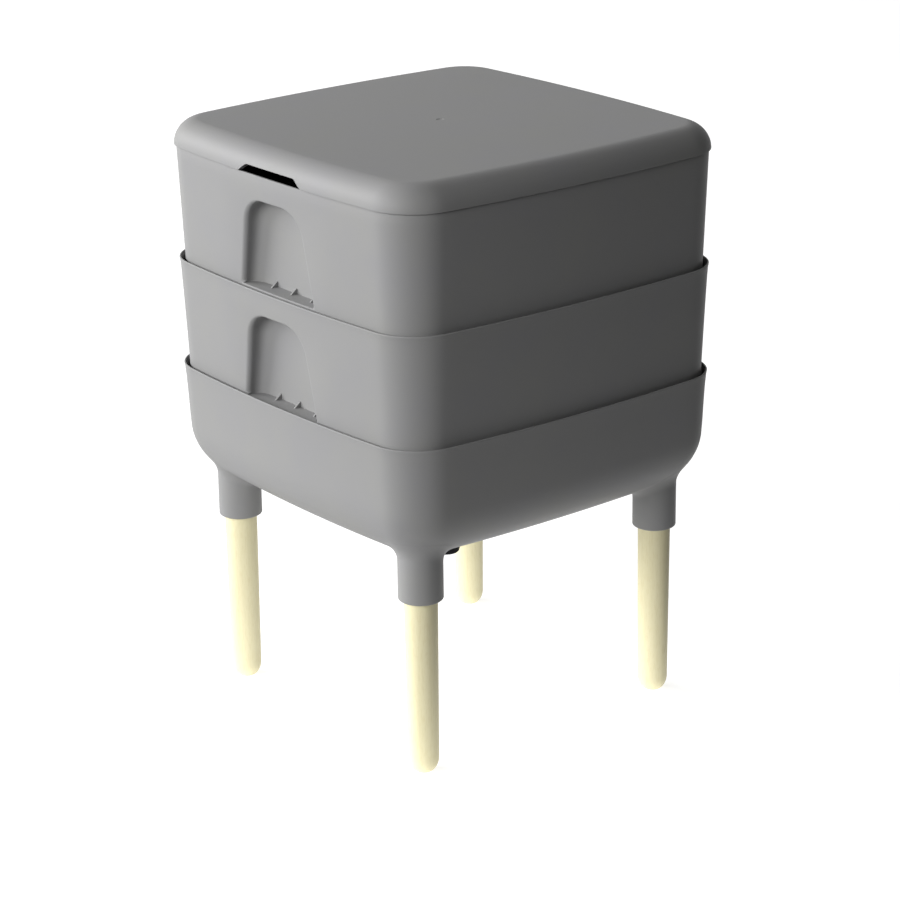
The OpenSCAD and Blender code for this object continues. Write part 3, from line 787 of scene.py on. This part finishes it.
# %% [markdown]
# ## The lid
# The lid is a shallow dome with a flat top. Its edge rolls over in one large radius and
# ends in a sharp lower edge just outside the tray. Inside, a flange runs round, and the
# tray's rim sits in the groove between the flange and the skirt. The whole section, outside,
# groove and inside, is one profile that is carried round the bowed square.

# %% Lid shell
LID_Z, LID_H, LID_OUT, LID_R, LID_CZ = 520.5, 22.6, -1.93, 22.9, -0.3
LID_SEAT, SKIRT_T, FLANGE_OUT, FLANGE_T, FLANGE_DROP = 1.0, 1.6, 3.1, 2.0, 7.5


def lid_turn(depth, r):
    """The turn from upright at which an arc of the lid's edge is at a depth."""
    return math.degrees(math.acos((LID_R + LID_OUT - depth) / r))


def lid_shell():
    """The lid's moulding before its ribs, notches and gate mark."""
    cx, inner_r, low = LID_OUT + LID_R, LID_R - WALL, LID_SEAT - FLANGE_DROP
    rise, fall = lid_turn(FLANGE_OUT + FLANGE_T, inner_r), lid_turn(FLANGE_OUT, inner_r)
    groove = LID_OUT + SKIRT_T
    profile = (arc(cx, LID_CZ, LID_R, 90, 174, 21)
               + [(LID_OUT + 0.03, 0.9), (LID_OUT + 0.05, 0.35), (LID_OUT + 0.15, 0.1),
                  (LID_OUT + 0.4, 0), (groove - 0.4, 0), (groove, 0.4), (groove, LID_SEAT + 0.4)]
               + arc(cx, LID_CZ, inner_r, 172, 180 - fall, 4)
               + [(FLANGE_OUT, low + 0.6), (FLANGE_OUT + 0.2, low + 0.15), (FLANGE_OUT + 0.6, low),
                  (FLANGE_OUT + FLANGE_T - 0.6, low), (FLANGE_OUT + FLANGE_T - 0.2, low + 0.15),
                  (FLANGE_OUT + FLANGE_T, low + 0.6)]
               + arc(cx, LID_CZ, inner_r, 180 - rise, 90, 16))
    return raise_rings("lid_moulding", [inside_rim(d, LID_Z + z) for d, z in profile])


lid = lid_shell()
print("lid:", len(lid.data.polygons), "faces before cutting")

# %% [markdown]
# ### Finger notch, ribs and gate mark
# Finger tips lift the lid at a low notch in its edge over each pocket. The notch's ends
# slope and its upper corners are round. Fingers go in under the flange as well, so the
# cutter is a solid that reaches through skirt and flange. The gate mark is the small
# dimple where the plastic ran into the mould.

# %% Finger notch
NOTCH_HALF, NOTCH_TOP, NOTCH_H, NOTCH_R, NOTCH_SHIFT = 46, 32.5, 7.7, 8, 2
NOTCH_SLOPE, NOTCH_PAST, NOTCH_BELOW = 34, 3, 2


def notch_cutter(turned_round):
    """The finger notch: a low slot with sloped ends and rounded top corners."""
    way = -1 if turned_round else 1
    foot, centre = NOTCH_HALF + NOTCH_PAST, NOTCH_H - NOTCH_R
    line = ([(-foot, -NOTCH_BELOW)] + arc(-NOTCH_TOP, centre, NOTCH_R, 90 + NOTCH_SLOPE, 90, 6)
            + arc(NOTCH_TOP, centre, NOTCH_R, 90, 90 - NOTCH_SLOPE, 6) + [(foot, -NOTCH_BELOW)])
    inside, outside = RIM_HALF - FLANGE_OUT - FLANGE_T - NOTCH_PAST, RIM_HALF - LID_OUT + NOTCH_PAST
    return raise_rings("notch", [[Vector((x * way, (y + NOTCH_SHIFT) * way, LID_Z + z)) * MM
                                  for y, z in line] for x in (inside, outside)])


# %% Lid ribs and the finished lid
RIB_PITCH, LID_RIBS, RIB_T = 52, (-2.5, -1.5, 1.5, 2.5), 2
GATE_MARK = [(2.9, -0.4), (3.2, -0.35), (3.5, -0.1), (3.6, 1)]


def rib_line():
    """A lid rib: it spans the groove between the skirt and the flange, its foot on the tray's rim."""
    cx, mid_r = LID_OUT + LID_R, LID_R - WALL / 2
    skirt_mid, flange_mid = LID_OUT + SKIRT_T / 2, FLANGE_OUT + FLANGE_T / 2
    over = arc(cx, LID_CZ, mid_r, 170, 180 - lid_turn(flange_mid, mid_r), 4)
    return [(skirt_mid, LID_SEAT)] + over + [(flange_mid, LID_SEAT)]


combine(lid, side_ribs([RIB_PITCH * n for n in LID_RIBS], RIB_T, LID_Z, rib_line()), "UNION")
notches = [notch_cutter(False), notch_cutter(True)]
gate_mark = turned("gate_mark", [(r, LID_Z + LID_H + z) for r, z in GATE_MARK])
combine(lid, joined("lid_cutters", notches + [gate_mark]), "DIFFERENCE")
dress(lid, "lid", "grey_plastic", "lid")

# %% [markdown]
# ## The collector bowl
# The bowl's wall runs down from its rim with a slight draft and then rounds under in a
# quarter ellipse to a flat bottom. The corners get tighter towards the bottom. A bevel on a
# box would give a quarter circle and even corners, so the levels of the ellipse are worked
# out and the bowl is raised through them, outside up and inside down again.

# %% Bowl form
BOWL_Z, BOWL_H, BOWL_BLEND_H, BOWL_BLEND_W, BOWL_CORNER_R = 200, 116.2, 59, 65, 12
BOWL_FLOOR_T, BOWL_CORNER_SHARE = 2.6, 0.6
OUTER_ROWS, INNER_ROWS = (66, 74, 82, 90, 97, 103), (100, 80)
KNEE_HALF = RIM_HALF - TAPER * (BOWL_H - BOWL_BLEND_H)


def bowl_outline(half, inset):
    """Half width, corner and bow of the bowl where it has shrunk to a half width."""
    corner = max(CORNER_R - BOWL_CORNER_SHARE * (RIM_HALF - half), BOWL_CORNER_R)
    return half - inset, corner - inset, BOW_R - (RIM_HALF - half) - inset


def bowl_level(angle, floor, inset):
    """Half width and height of the bowl's rounded underside at a turn of its quarter ellipse."""
    t = math.radians(angle)
    return (KNEE_HALF - (BOWL_BLEND_W - inset) * (1 - math.cos(t)),
            BOWL_BLEND_H - (BOWL_BLEND_H - floor) * math.sin(t))


def bowl_depth(z):
    """How far in the bowl's upright wall is from the rim outline."""
    return TAPER * (BOWL_H - z) - SWING * ((z - BOWL_BLEND_H) / (BOWL_H - BOWL_BLEND_H)) ** 2


def bowl_ring(half, z, inset):
    """A ring of the bowl at a half width and a height over its bottom."""
    return outline(*bowl_outline(half, inset), BOWL_Z + z)


def bowl_shell():
    """The bowl before its sockets, ribs and bores."""
    rim = rim_line(-SWING, BOWL_H) + rim_inside(-SWING, BOWL_H)[::-1]
    rings = [bowl_ring(*bowl_level(a, 0, 0), 0) for a in range(90, -1, -5)]
    rings += [inside_rim(bowl_depth(z), BOWL_Z + z) for z in OUTER_ROWS]
    rings += [inside_rim(d, BOWL_Z + z) for d, z in rim]
    rings += [bowl_ring(RIM_HALF - TAPER * (BOWL_H - z), z, WALL) for z in INNER_ROWS]
    rings += [bowl_ring(*bowl_level(a, BOWL_FLOOR_T, WALL), WALL) for a in range(0, 91, 5)]
    return raise_rings("bowl_moulding", rings)


bowl = bowl_shell()
print("bowl:", len(bowl.data.polygons), "faces")

# %% [markdown]
# ### The bowl's surface over a point
# The sockets have to meet a surface that is curved both ways, so its height over any point
# is needed. There is no short formula for it, but it is easy to say whether a point lies
# outside a level's outline. Halving the range of levels forty times finds the one that
# passes through the point.

# %% Height of the bowl over a point
HALVINGS = 40


def outside_by(x, y, half, corner, bow):
    """How far a point is outside a bowed square; negative inside."""
    x, y = max(abs(x), abs(y)), min(abs(x), abs(y))
    centre, reach = half - bow, bow - corner
    meet = (centre + math.sqrt(2 * reach ** 2 - centre ** 2)) / 2
    if math.atan2(y, x - centre) > math.atan2(meet, meet - centre):
        return math.hypot(x - meet, y - meet) - corner
    return math.hypot(x - centre, y) - bow


def bowl_under(x, y):
    """Height of the bowl's outer surface over a point, from the bowl's bottom."""
    low, high = 0.0, 90.0
    for _ in range(HALVINGS):
        angle = (low + high) / 2
        half, z = bowl_level(angle, 0, 0)
        if outside_by(x, y, *bowl_outline(half, 0)) > 0:
            high = angle
        else:
            low = angle
    return bowl_level((low + high) / 2, 0, 0)[1]


print("at 120, 120 the bowl's surface is", round(bowl_under(120, 120), 1), "mm over its bottom")

# %% [markdown]
# ### Leg sockets
# Four sockets hang under the corners of the bowl. A socket is a plain cylinder lower down.
# Near the bowl each point of it swings out on a curve that starts upright on the cylinder
# and ends in line with the bowl's own surface, so light runs over the join without a seam.
# A bevel on the join would do for a flat bowl; here it would break up at the corners.

# %% Sockets
LEG_POS, SOCKET_R, SOCKET_LOW, SOCKET_TOP, BORE_R, BORE_TOP = 136.5, 20, 165, 219.4, 15.0, 217
SOCKET_FILLET, SOCKET_EDGE_R, SOCKET_STEPS, STEEPEST = 9, 1.5, 12, -0.5


def socket_curve(x0, y0, ux, uy):
    """The (radius, height) points from the cylinder out to the bowl, in one direction."""
    r_end = SOCKET_R + SOCKET_FILLET
    z_end = bowl_under(x0 + r_end * ux, y0 + r_end * uy)
    z_in = bowl_under(x0 + (r_end - 0.2) * ux, y0 + (r_end - 0.2) * uy)
    slope = max((z_end - z_in) / 0.2, STEEPEST)
    corner = BOWL_Z + z_end - slope * SOCKET_FILLET
    start = corner - SOCKET_FILLET
    points = []
    for k in range(SOCKET_STEPS + 1):
        t = k / SOCKET_STEPS
        points.append((SOCKET_R + SOCKET_FILLET * t * t,
                       start * (1 - t) ** 2 + 2 * corner * t * (1 - t) + (BOWL_Z + z_end) * t * t))
    # Three more points turn back inside the bowl's wall, where nothing of them shows.
    points.append((r_end + 0.3, BOWL_Z + z_end + 0.3 * slope + 0.6))
    points.append((r_end - 1.5, BOWL_Z + z_end - 1.5 * slope + 1.2))
    points.append((SOCKET_R - 1, max(BOWL_Z + z_end - (SOCKET_FILLET + 1) * slope + 1.0, start + 2)))
    return points


def socket(sx, sy, steps=96):
    """A leg socket with its fillet, under one corner of the bowl."""
    x0, y0 = sx * LEG_POS, sy * LEG_POS
    r = SOCKET_EDGE_R
    bottom = [(SOCKET_R - 3, SOCKET_LOW)] + [
        (SOCKET_R - r + r * math.sin(math.radians(a)), SOCKET_LOW + r - r * math.cos(math.radians(a)))
        for a in (0, 20, 40, 60, 80, 90)]
    rings = [round_ring(x0, y0, r, z, steps) for r, z in bottom]
    curves = []
    for i in range(steps):
        a = 2 * math.pi * i / steps
        ux, uy = math.cos(a), math.sin(a)
        curves.append((ux, uy, socket_curve(x0, y0, ux, uy)))
    for k in range(len(curves[0][2])):
        rings.append([Vector((x0 + p[k][0] * ux, y0 + p[k][0] * uy, p[k][1])) * MM
                      for ux, uy, p in curves])
    rings.append(round_ring(x0, y0, SOCKET_R - 1, SOCKET_TOP, steps))
    return raise_rings("socket", rings)


CORNERS = [(sx, sy) for sx in (-1, 1) for sy in (-1, 1)]
combine(bowl, joined("sockets", [socket(sx, sy) for sx, sy in CORNERS]), "UNION")
print("bowl with sockets:", len(bowl.data.polygons), "faces")

# %% [markdown]
# ### Seat ribs, leg bores and the tap's hole
# The lower tray stands on three ribs on each side of the bowl. They are joined on, and then
# the bores for the legs and the hole for the tap are cut in one go. A bore is widened a
# little at its mouth, so that the leg finds its way in.

# %% Finish the bowl
SEAT, SEAT_DROP, RIB_REACH, RIB_H, RIB_SUNK = 95.2, 21, 10, 28, 1.2
SEAT_RIBS, BORE_EDGE, TAP_HOLE_R = (-86, 0, 86), 0.6, 13.0
seat_in = TAPER * SEAT_DROP + WALL
seat_rib = [(seat_in - RIB_SUNK, SEAT), (seat_in + RIB_REACH, SEAT),
            (seat_in + RIB_REACH, SEAT - RIB_T), (seat_in + RIB_H * TAPER - RIB_SUNK, SEAT - RIB_H)]
combine(bowl, side_ribs(SEAT_RIBS, RIB_T, BOWL_Z, seat_rib), "UNION")
bore = [(BORE_R + BORE_EDGE, SOCKET_LOW - 1), (BORE_R + BORE_EDGE, SOCKET_LOW),
        (BORE_R, SOCKET_LOW + BORE_EDGE), (BORE_R, BORE_TOP)]
bores = [turned("bore", bore, sx * LEG_POS, sy * LEG_POS, 96) for sx, sy in CORNERS]
bores.append(turned("tap_hole", [(TAP_HOLE_R, BOWL_Z - 3), (TAP_HOLE_R, BOWL_Z + 6)]))
combine(bowl, joined("bores", bores), "DIFFERENCE")
dress(bowl, "collector_bowl", "grey_plastic", "base")

# %% [markdown]
# ## The legs
# Each leg is a dowel, turned with a slight taper towards a rounded foot, and pushed up into
# its socket. The foot has a small flat where it stands. A cylinder with a bevelled end would
# come close, but not with both the taper and the flat, so the leg is turned from a profile
# as on a lathe. The four are alike, and a loop makes them.

# %% Legs
LEG_R, LEG_FOOT_R, LEG_ROUND_H, LEG_FLAT_R = 14.9, 13.8, 14, 4.5


def leg_profile():
    """(radius, height) from the flat of the foot to the edge at the upper end."""
    foot = [(LEG_FLAT_R + (LEG_FOOT_R - LEG_FLAT_R) * math.sin(math.radians(a)),
             LEG_ROUND_H * (1 - math.cos(math.radians(a)))) for a in range(0, 91, 6)]
    return foot + [(LEG_R, SOCKET_LOW), (LEG_R, BORE_TOP - 1), (LEG_R - 1, BORE_TOP)]


for side_y, name_y in ((-1, "front"), (1, "back")):
    for side_x, name_x in ((-1, "left"), (1, "right")):
        node = "leg_%s_%s" % (name_y, name_x)
        leg = turned(node + "_dowel", leg_profile(), side_x * LEG_POS, side_y * LEG_POS, 96)
        dress(leg, node, "turned_wood", "base")

# %% [markdown]
# ## The drain tap
# The tap is a barrel that hangs through the middle of the bowl's bottom, clamped by a nut
# inside with a seal on each side. A plug with two O-rings turns in the cross bore and is
# worked by its wing. The barrel and the nut are turned about the upright axis; the plug and
# what holds it are turned about the plug's own axis, along Y. Nearly all of it is round, so
# profiles do most of the work again, this time about two axes.

# %% Tap sizes and helpers
TAP_TOP, HOUSING_Z, HOUSING_HALF, HOUSING_R, PLUG_R, TAP_BORE_R = 217.6, 176, 18, 13.5, 8.95, 6.5
PLUG_END, HUB_R, HUB_T, WING_HALF, WING_T, WING_REACH = 18.3, 12, 5, 18, 5, 13
FLANGE_Z, FLANGE_R, TAIL_R, THREAD_PITCH, THREAD_DEPTH = 193.5, 21, 12.9, 2.0, 0.55
SEAL_R, SEAL_T, NUT_W, NUT_Z, NUT_H = 20, 2.5, 42, 205.1, 8
SCREW_R, SCREW_HEAD_R, SCREW_HEAD_H, WASHER_T, RECESS_W, O_RING_R, O_RING_Y = 2, 5, 3, 1.5, 1, 1.1, 13
SPOUT_R, SPOUT_LOW, SPOUT_TOP, SPOUT_EDGE_R, BARREL_R, TAP_FLANGE_T = 12.5, 132, 157.5, 3, 15, 4
RUN_GAP, TAIL_GAP, THREAD_STEP = 0.05, 0.25, 0.25


def round_ring_along(radius, y, steps=64):
    """A round ring about the plug's axis."""
    return [Vector((radius * math.cos(2 * math.pi * i / steps), y,
                    HOUSING_Z + radius * math.sin(2 * math.pi * i / steps))) * MM for i in range(steps)]


def turned_along(name, profile, steps=64):
    """A piece turned about the plug's axis from a profile of (radius, y)."""
    return raise_rings(name, [round_ring_along(r, y, steps) for r, y in profile])


def edged(radius, low, high, edge):
    """The profile of a disc with both edges rounded."""
    turns = [math.radians(a) for a in (0, 30, 60, 90)]
    return ([(radius - edge + edge * math.sin(t), low + edge - edge * math.cos(t)) for t in turns]
            + [(radius - edge + edge * math.cos(t), high - edge + edge * math.sin(t)) for t in turns])


def thread_ring(z, steps=64):
    """A level ring through a helical thread."""
    ring = []
    for i in range(steps):
        phase = (z / THREAD_PITCH - i / steps) % 1
        radius = TAIL_R - THREAD_DEPTH * min(abs(2 * phase - 1) * 1.6, 1)
        turn = 2 * math.pi * i / steps
        ring.append(Vector((radius * math.cos(turn), radius * math.sin(turn), z)) * MM)
    return ring


print("a thread of pitch", THREAD_PITCH, "mm is drawn in steps of", THREAD_STEP, "mm")

# %% [markdown]
# ### Tap body
# The body is one moulding: spout, barrel, flange and threaded tail in one profile, with a
# housing across it for the plug. The thread could be a screw modifier, but then it would be
# a piece of its own; here each ring of the tail is already a cut through the helix.

# %% Tap body
def tap_barrel():
    """Spout, barrel, flange and threaded tail."""
    r = SPOUT_EDGE_R
    foot = [(SPOUT_R - r + r * math.sin(math.radians(a)), SPOUT_LOW + r - r * math.cos(math.radians(a)))
            for a in range(0, 91, 15)]
    step = [(SPOUT_R, SPOUT_TOP), (SPOUT_R + 0.2, SPOUT_TOP + 0.4), (BARREL_R - 0.2, SPOUT_TOP + 2.3),
            (BARREL_R, SPOUT_TOP + 2.7)]
    hollow = [(BARREL_R, FLANGE_Z - 2), (BARREL_R + 0.3, FLANGE_Z - 0.9),
              (BARREL_R + 1, FLANGE_Z - 0.2), (BARREL_R + 2, FLANGE_Z)]
    tail = FLANGE_Z + TAP_FLANGE_T
    flange = edged(FLANGE_R, FLANGE_Z, tail, 0.7)
    levels = int((TAP_TOP - 0.6 - tail) / THREAD_STEP) + 1
    rings = [round_ring(0, 0, r, z) for r, z in foot + step + hollow + flange]
    rings += [thread_ring(tail + THREAD_STEP * i) for i in range(levels)]
    rings += [round_ring(0, 0, TAIL_R - 1.1, TAP_TOP)]
    return raise_rings("tap_barrel", rings)


barrel = tap_barrel()
combine(barrel, turned_along("housing", edged(HOUSING_R, -HOUSING_HALF, HOUSING_HALF, 0.8)), "UNION")
combine(barrel, turned("bore", [(TAP_BORE_R, 131), (TAP_BORE_R, TAP_TOP + 1)]), "DIFFERENCE")
cross_bore = [(PLUG_R + RUN_GAP, -HOUSING_HALF - 1), (PLUG_R + RUN_GAP, HOUSING_HALF + 1)]
combine(barrel, turned_along("cross_bore", cross_bore), "DIFFERENCE")
dress(barrel, "tap_body", "black_plastic", "base")

# %% [markdown]
# ### Plug and wing
# The plug and its wing are one moulding. The wing's outline is a bar with round ends and a
# round boss in its middle. It is raised outwards from the hub and thins a little on the way,
# as it must to leave the mould, and its free end is rounded over. A bevelled cube would have
# no such taper.

# %% Tap plug with its wing
def wing_ring(y, draw_in, steps=24):
    """The outline of the bar at a distance along the axis, drawn in by the draft."""
    half, r = WING_HALF - WING_T / 2, WING_T / 2 - draw_in
    line = arc(half, 0, r, -90, 90, steps) + arc(-half, 0, r, 90, 270, steps)
    return [Vector((x, y, HOUSING_Z + z)) * MM for x, z in line]


def wing_rings(ring, start, draft, edge):
    """Rings from the hub out to the rounded free end."""
    end = start - WING_REACH
    steps = [(start + 0.5, 0), (end + edge, draft)]
    for a in (30, 60, 90):
        t = math.radians(a)
        steps.append((end + edge - edge * math.sin(t), draft + edge * (1 - math.cos(t))))
    return [ring(y, draw_in) for y, draw_in in steps]


groove_low, groove_high = O_RING_Y - O_RING_R * 1.2, O_RING_Y + O_RING_R * 1.2
groove_r = PLUG_R - 2 * O_RING_R
half_plug = [(PLUG_R, groove_low), (groove_r, groove_low), (groove_r, groove_high),
             (PLUG_R, groove_high)]
plug_line = ([(r, -y) for r, y in edged(HUB_R, PLUG_END, PLUG_END + HUB_T, 0.8)][::-1]
             + [(r, -y) for r, y in half_plug[::-1]] + half_plug
             + [(PLUG_R, PLUG_END - 0.4), (PLUG_R - 0.4, PLUG_END)])
plug = turned_along("tap_plug_with_wing", plug_line)
wing_start = -PLUG_END - HUB_T
combine(plug, raise_rings("wing", wing_rings(wing_ring, wing_start, 0.35, 0.9)), "UNION")
boss = wing_rings(lambda y, draw_in: round_ring_along(WING_T - draw_in, y, 48), wing_start, 0.3, 0.9)
combine(plug, raise_rings("boss", boss), "UNION")
through = []
for x in (-PLUG_R - 1, PLUG_R + 1):
    turns = [2 * math.pi * i / 48 for i in range(48)]
    through.append([Vector((x, TAP_BORE_R * math.cos(a), HOUSING_Z + TAP_BORE_R * math.sin(a))) * MM
                    for a in turns])
combine(plug, raise_rings("plug_bore", through), "DIFFERENCE")
screw_hole_r = SCREW_R + RUN_GAP
screw_hole = [(screw_hole_r, PLUG_END - 9), (screw_hole_r, PLUG_END + 1)]
combine(plug, turned_along("screw_hole", screw_hole, 32), "DIFFERENCE")
dress(plug, "tap_plug", "black_plastic", "tap_plug")

# %% [markdown]
# ### What holds and seals the plug
# Two O-rings lie in the plug's grooves, and a torus is just what an O-ring is. At the far
# end a plain washer, wider than the bore, is held by a pan head screw with a cross recess.
# The recess is cut by one bar, used once along and once across.

# %% O-rings
o_rings = []
for y in (-O_RING_Y, O_RING_Y):
    bpy.ops.object.select_all(action="DESELECT")
    bpy.ops.mesh.primitive_torus_add(major_radius=(PLUG_R - O_RING_R) * MM,
                                     minor_radius=(O_RING_R - RUN_GAP / 2) * MM,
                                     major_segments=64, minor_segments=16,
                                     location=Vector((0, y, HOUSING_Z)) * MM,
                                     rotation=(math.pi / 2, 0, 0))
    bpy.ops.object.transform_apply(location=True, rotation=True)
    o_rings.append(bpy.context.object)
dress(joined("pair_of_o_rings", o_rings), "tap_plug_o_rings", "seal_rubber", "tap_plug")

# %% Washer and screw
head = PLUG_END + WASHER_T
washer = turned_along("plain_washer", edged(HUB_R, PLUG_END, head, 0.25))
combine(washer, turned_along("hole", [(screw_hole_r, PLUG_END - 1), (screw_hole_r, head + 1)], 32),
        "DIFFERENCE")
dress(washer, "tap_plug_washer", "plated_steel", "tap_plug")

shank = [(1.2, PLUG_END - 7.8), (SCREW_R, PLUG_END - 6.6), (SCREW_R, head)]
dome = [(SCREW_HEAD_R - 0.15, head), (SCREW_HEAD_R, head + 0.4)]
for a in (15, 30, 45, 60, 72, 82):
    t = math.radians(a)
    dome.append((SCREW_HEAD_R * math.cos(t) ** 0.6, head + 0.4 + (SCREW_HEAD_H - 0.4) * math.sin(t)))
screw = turned_along("pan_head_screw", shank + dome, 48)
for turn in (0, 90):
    bpy.ops.object.select_all(action="DESELECT")
    bpy.ops.mesh.primitive_cube_add(size=1, location=Vector((0, head + SCREW_HEAD_H, HOUSING_Z)) * MM,
                                    rotation=(0, math.radians(turn), 0),
                                    scale=Vector((SCREW_HEAD_R * 1.2, SCREW_HEAD_H, RECESS_W)) * MM)
    slot_cutter = bpy.context.object
    bpy.ops.object.transform_apply(location=True, rotation=True, scale=True)
    combine(screw, slot_cutter, "DIFFERENCE")
dress(screw, "tap_plug_screw", "plated_steel", "tap_plug")

# %% [markdown]
# ### Nut and seals
# The nut is a hexagon whose corners are turned off in a shallow cone on both faces, which
# leaves the curved edges that a real nut shows. A six-sided cylinder with a bevel would
# have straight ones. Each ring takes the nearer of the hexagon and the cone. The seals are
# flat rings with rounded edges, one under the bowl's floor and one on it.

# %% Nut and seals
def hex_ring(z, cone_r, steps=96):
    """A level ring on a hexagon, cut off by a cone's radius at that height."""
    ring = []
    for i in range(steps):
        turn = 2 * math.pi * i / steps
        flat = NUT_W / 2 * math.cos(math.pi / 6) / math.cos((turn % (math.pi / 3)) - math.pi / 6)
        radius = min(flat, cone_r)
        ring.append(Vector((radius * math.cos(turn), radius * math.sin(turn), z)) * MM)
    return ring


flats = NUT_W / 2 * math.cos(math.pi / 6)
rise = [(0, flats - 0.3), (0.4, flats + 0.6), (0.8, flats + 1.4), (1.3, flats + 2.3), (1.8, NUT_W / 2)]
nut_rings = [hex_ring(NUT_Z + z, r) for z, r in rise]
nut_rings += [hex_ring(NUT_Z + NUT_H - z, r) for z, r in rise[::-1]]
nut = raise_rings("hex_nut", nut_rings)
tail_hole_r = TAIL_R + TAIL_GAP
nut_bore = turned("nut_bore", [(tail_hole_r, NUT_Z - 1), (tail_hole_r, NUT_Z + NUT_H + 1)])
combine(nut, nut_bore, "DIFFERENCE")
dress(nut, "tap_nut", "black_plastic", "base")

for node, low in (("tap_outer_seal", BOWL_Z - SEAL_T), ("tap_inner_seal", BOWL_Z + BOWL_FLOOR_T)):
    seal = turned(node + "_ring", edged(SEAL_R, low, low + SEAL_T, 0.6))
    seal_bore = turned("seal_bore", [(tail_hole_r, low - 1), (tail_hole_r, low + SEAL_T + 1)])
    combine(seal, seal_bore, "DIFFERENCE")
    dress(seal, node, "seal_rubber", "base")

# %% [markdown]
# ## Floor and background
# The photograph was taken on a lit white table in a dim room: the underside of the bowl is
# bright, yet the side away from the lamps is dark. An even white room couldn't give both.
# So the floor throws light back near the object and little further out, and the room gives
# almost none. To the camera, and to mirror and glass rays, the floor and the room behind it
# are plain white, with a share of real shading left in the floor, which keeps the object's
# shadow.

# %% Shader helpers for floor and world
def seen_rays(tree):
    """1 for what the camera, a mirror or glass sees, 0 for light that falls on things."""
    path = add(tree, "ShaderNodeLightPath")
    first = add(tree, "ShaderNodeMath", {"operation": "MAXIMUM"})
    tree.links.new(path.outputs["Is Camera Ray"], first.inputs[0])
    tree.links.new(path.outputs["Is Glossy Ray"], first.inputs[1])
    any_of_them = add(tree, "ShaderNodeMath", {"operation": "MAXIMUM"})
    tree.links.new(first.outputs[0], any_of_them.inputs[0])
    tree.links.new(path.outputs["Is Transmission Ray"], any_of_them.inputs[1])
    return any_of_them.outputs[0]


def either(tree, factor, plain, other):
    """Mixes two shaders by a factor."""
    node = add(tree, "ShaderNodeMixShader", Fac=factor)
    tree.links.new(plain, node.inputs[1])
    tree.links.new(other, node.inputs[2])
    return node.outputs[0]


def both(tree, one, other):
    """Adds the light of two shaders."""
    node = add(tree, "ShaderNodeAddShader")
    tree.links.new(one, node.inputs[0])
    tree.links.new(other, node.inputs[1])
    return node.outputs[0]


# %% Floor
TABLE_R, ROOM_R, TABLE_GLOW, FLOOR_R, ROOM_DIM = 0.2, 0.5, 1.1, 8, 0.02
bpy.ops.object.select_all(action="DESELECT")
bpy.ops.mesh.primitive_circle_add(vertices=128, radius=FLOOR_R, fill_type="NGON", location=(0, 0, 0))
floor = bpy.context.object
floor.name = "studio_floor"
floor_finish = bpy.data.materials.new("white_table_in_dim_room")
floor_finish.use_nodes = True
tree = floor_finish.node_tree
tree.nodes.clear()
spot_on_floor = add(tree, "ShaderNodeTexCoord").outputs["Object"]
away = add(tree, "ShaderNodeVectorMath", {"operation": "LENGTH"})
tree.links.new(spot_on_floor, away.inputs[0])
fading = add(tree, "ShaderNodeMapRange", Value=away.outputs["Value"], **{
    "From_Min": TABLE_R, "From_Max": ROOM_R})
thrown = ramp(tree, fading.outputs["Result"], [(0.0, "#efefef"), (1.0, "#6a6a6a")])
throwing = add(tree, "ShaderNodeBsdfDiffuse", Color=thrown).outputs[0]
glow = add(tree, "ShaderNodeMapRange", Value=fading.outputs["Result"], **{
    "To_Min": TABLE_GLOW, "To_Max": 0.0}).outputs["Result"]
glowing = add(tree, "ShaderNodeEmission", Color=linear("#ffffff"), Strength=glow).outputs[0]
shaded = add(tree, "ShaderNodeBsdfDiffuse", Color=linear("#b8b8b8")).outputs[0]
clean = add(tree, "ShaderNodeEmission", Color=linear("#ffffff"), Strength=0.8).outputs[0]
tree.links.new(either(tree, seen_rays(tree), both(tree, throwing, glowing), both(tree, shaded, clean)),
               add(tree, "ShaderNodeOutputMaterial").inputs["Surface"])
floor.data.materials.append(floor_finish)
print("the floor gives light out to", ROOM_R, "m and is", 2 * FLOOR_R, "m wide")

# %% World
world = bpy.data.worlds.new("studio")
bpy.context.scene.world = world
world.use_nodes = True
tree = world.node_tree
tree.nodes.clear()
dim = add(tree, "ShaderNodeBackground", Color=linear("#ffffff"), Strength=ROOM_DIM).outputs[0]
white = add(tree, "ShaderNodeBackground", Color=linear("#ffffff"), Strength=1.0).outputs[0]
tree.links.new(either(tree, seen_rays(tree), dim, white),
               add(tree, "ShaderNodeOutputWorld").inputs["Surface"])
print("the room gives", ROOM_DIM, "of white to the object and plain white to the camera")

# %% [markdown]
# ## Lamps
# The light comes from the left, low and very soft: the left faces are even, the corners
# turn dark slowly, and no highlight has an edge. A sun would be too hard and one round lamp
# too small. Two wide strips of softboxes stand in a row, one square to the left faces and
# one further back. Their height sets how light the lid's top is against the walls.

# %% Lamps
LAMP_AIM, LAMP_DISTANCE, LAMP_HIGH = 0.3, 6.0, 2.5


def strip_lamp(name, turn, rise, wide, power):
    """A wide strip light, such as a row of softboxes, that looks at the middle of the object."""
    turn, rise = math.radians(turn), math.radians(rise)
    middle = Vector((0, 0, LAMP_AIM))
    way = Vector((math.cos(turn) * math.cos(rise), math.sin(turn) * math.cos(rise), math.sin(rise)))
    bpy.ops.object.light_add(type="AREA", location=middle + way * LAMP_DISTANCE)
    light = bpy.context.object
    light.name = name
    light.data.shape = "RECTANGLE"
    light.data.size, light.data.size_y = wide, LAMP_HIGH
    light.data.energy = power
    light.rotation_euler = (-way).to_track_quat("-Z", "Y").to_euler()
    print("lamp", name, "at", [round(v, 2) for v in light.location], "m")


strip_lamp("key", turn=185, rise=20, wide=5.0, power=430)
strip_lamp("side", turn=127, rise=20, wide=4.0, power=475)
bpy.context.scene.view_settings.view_transform = "Standard"
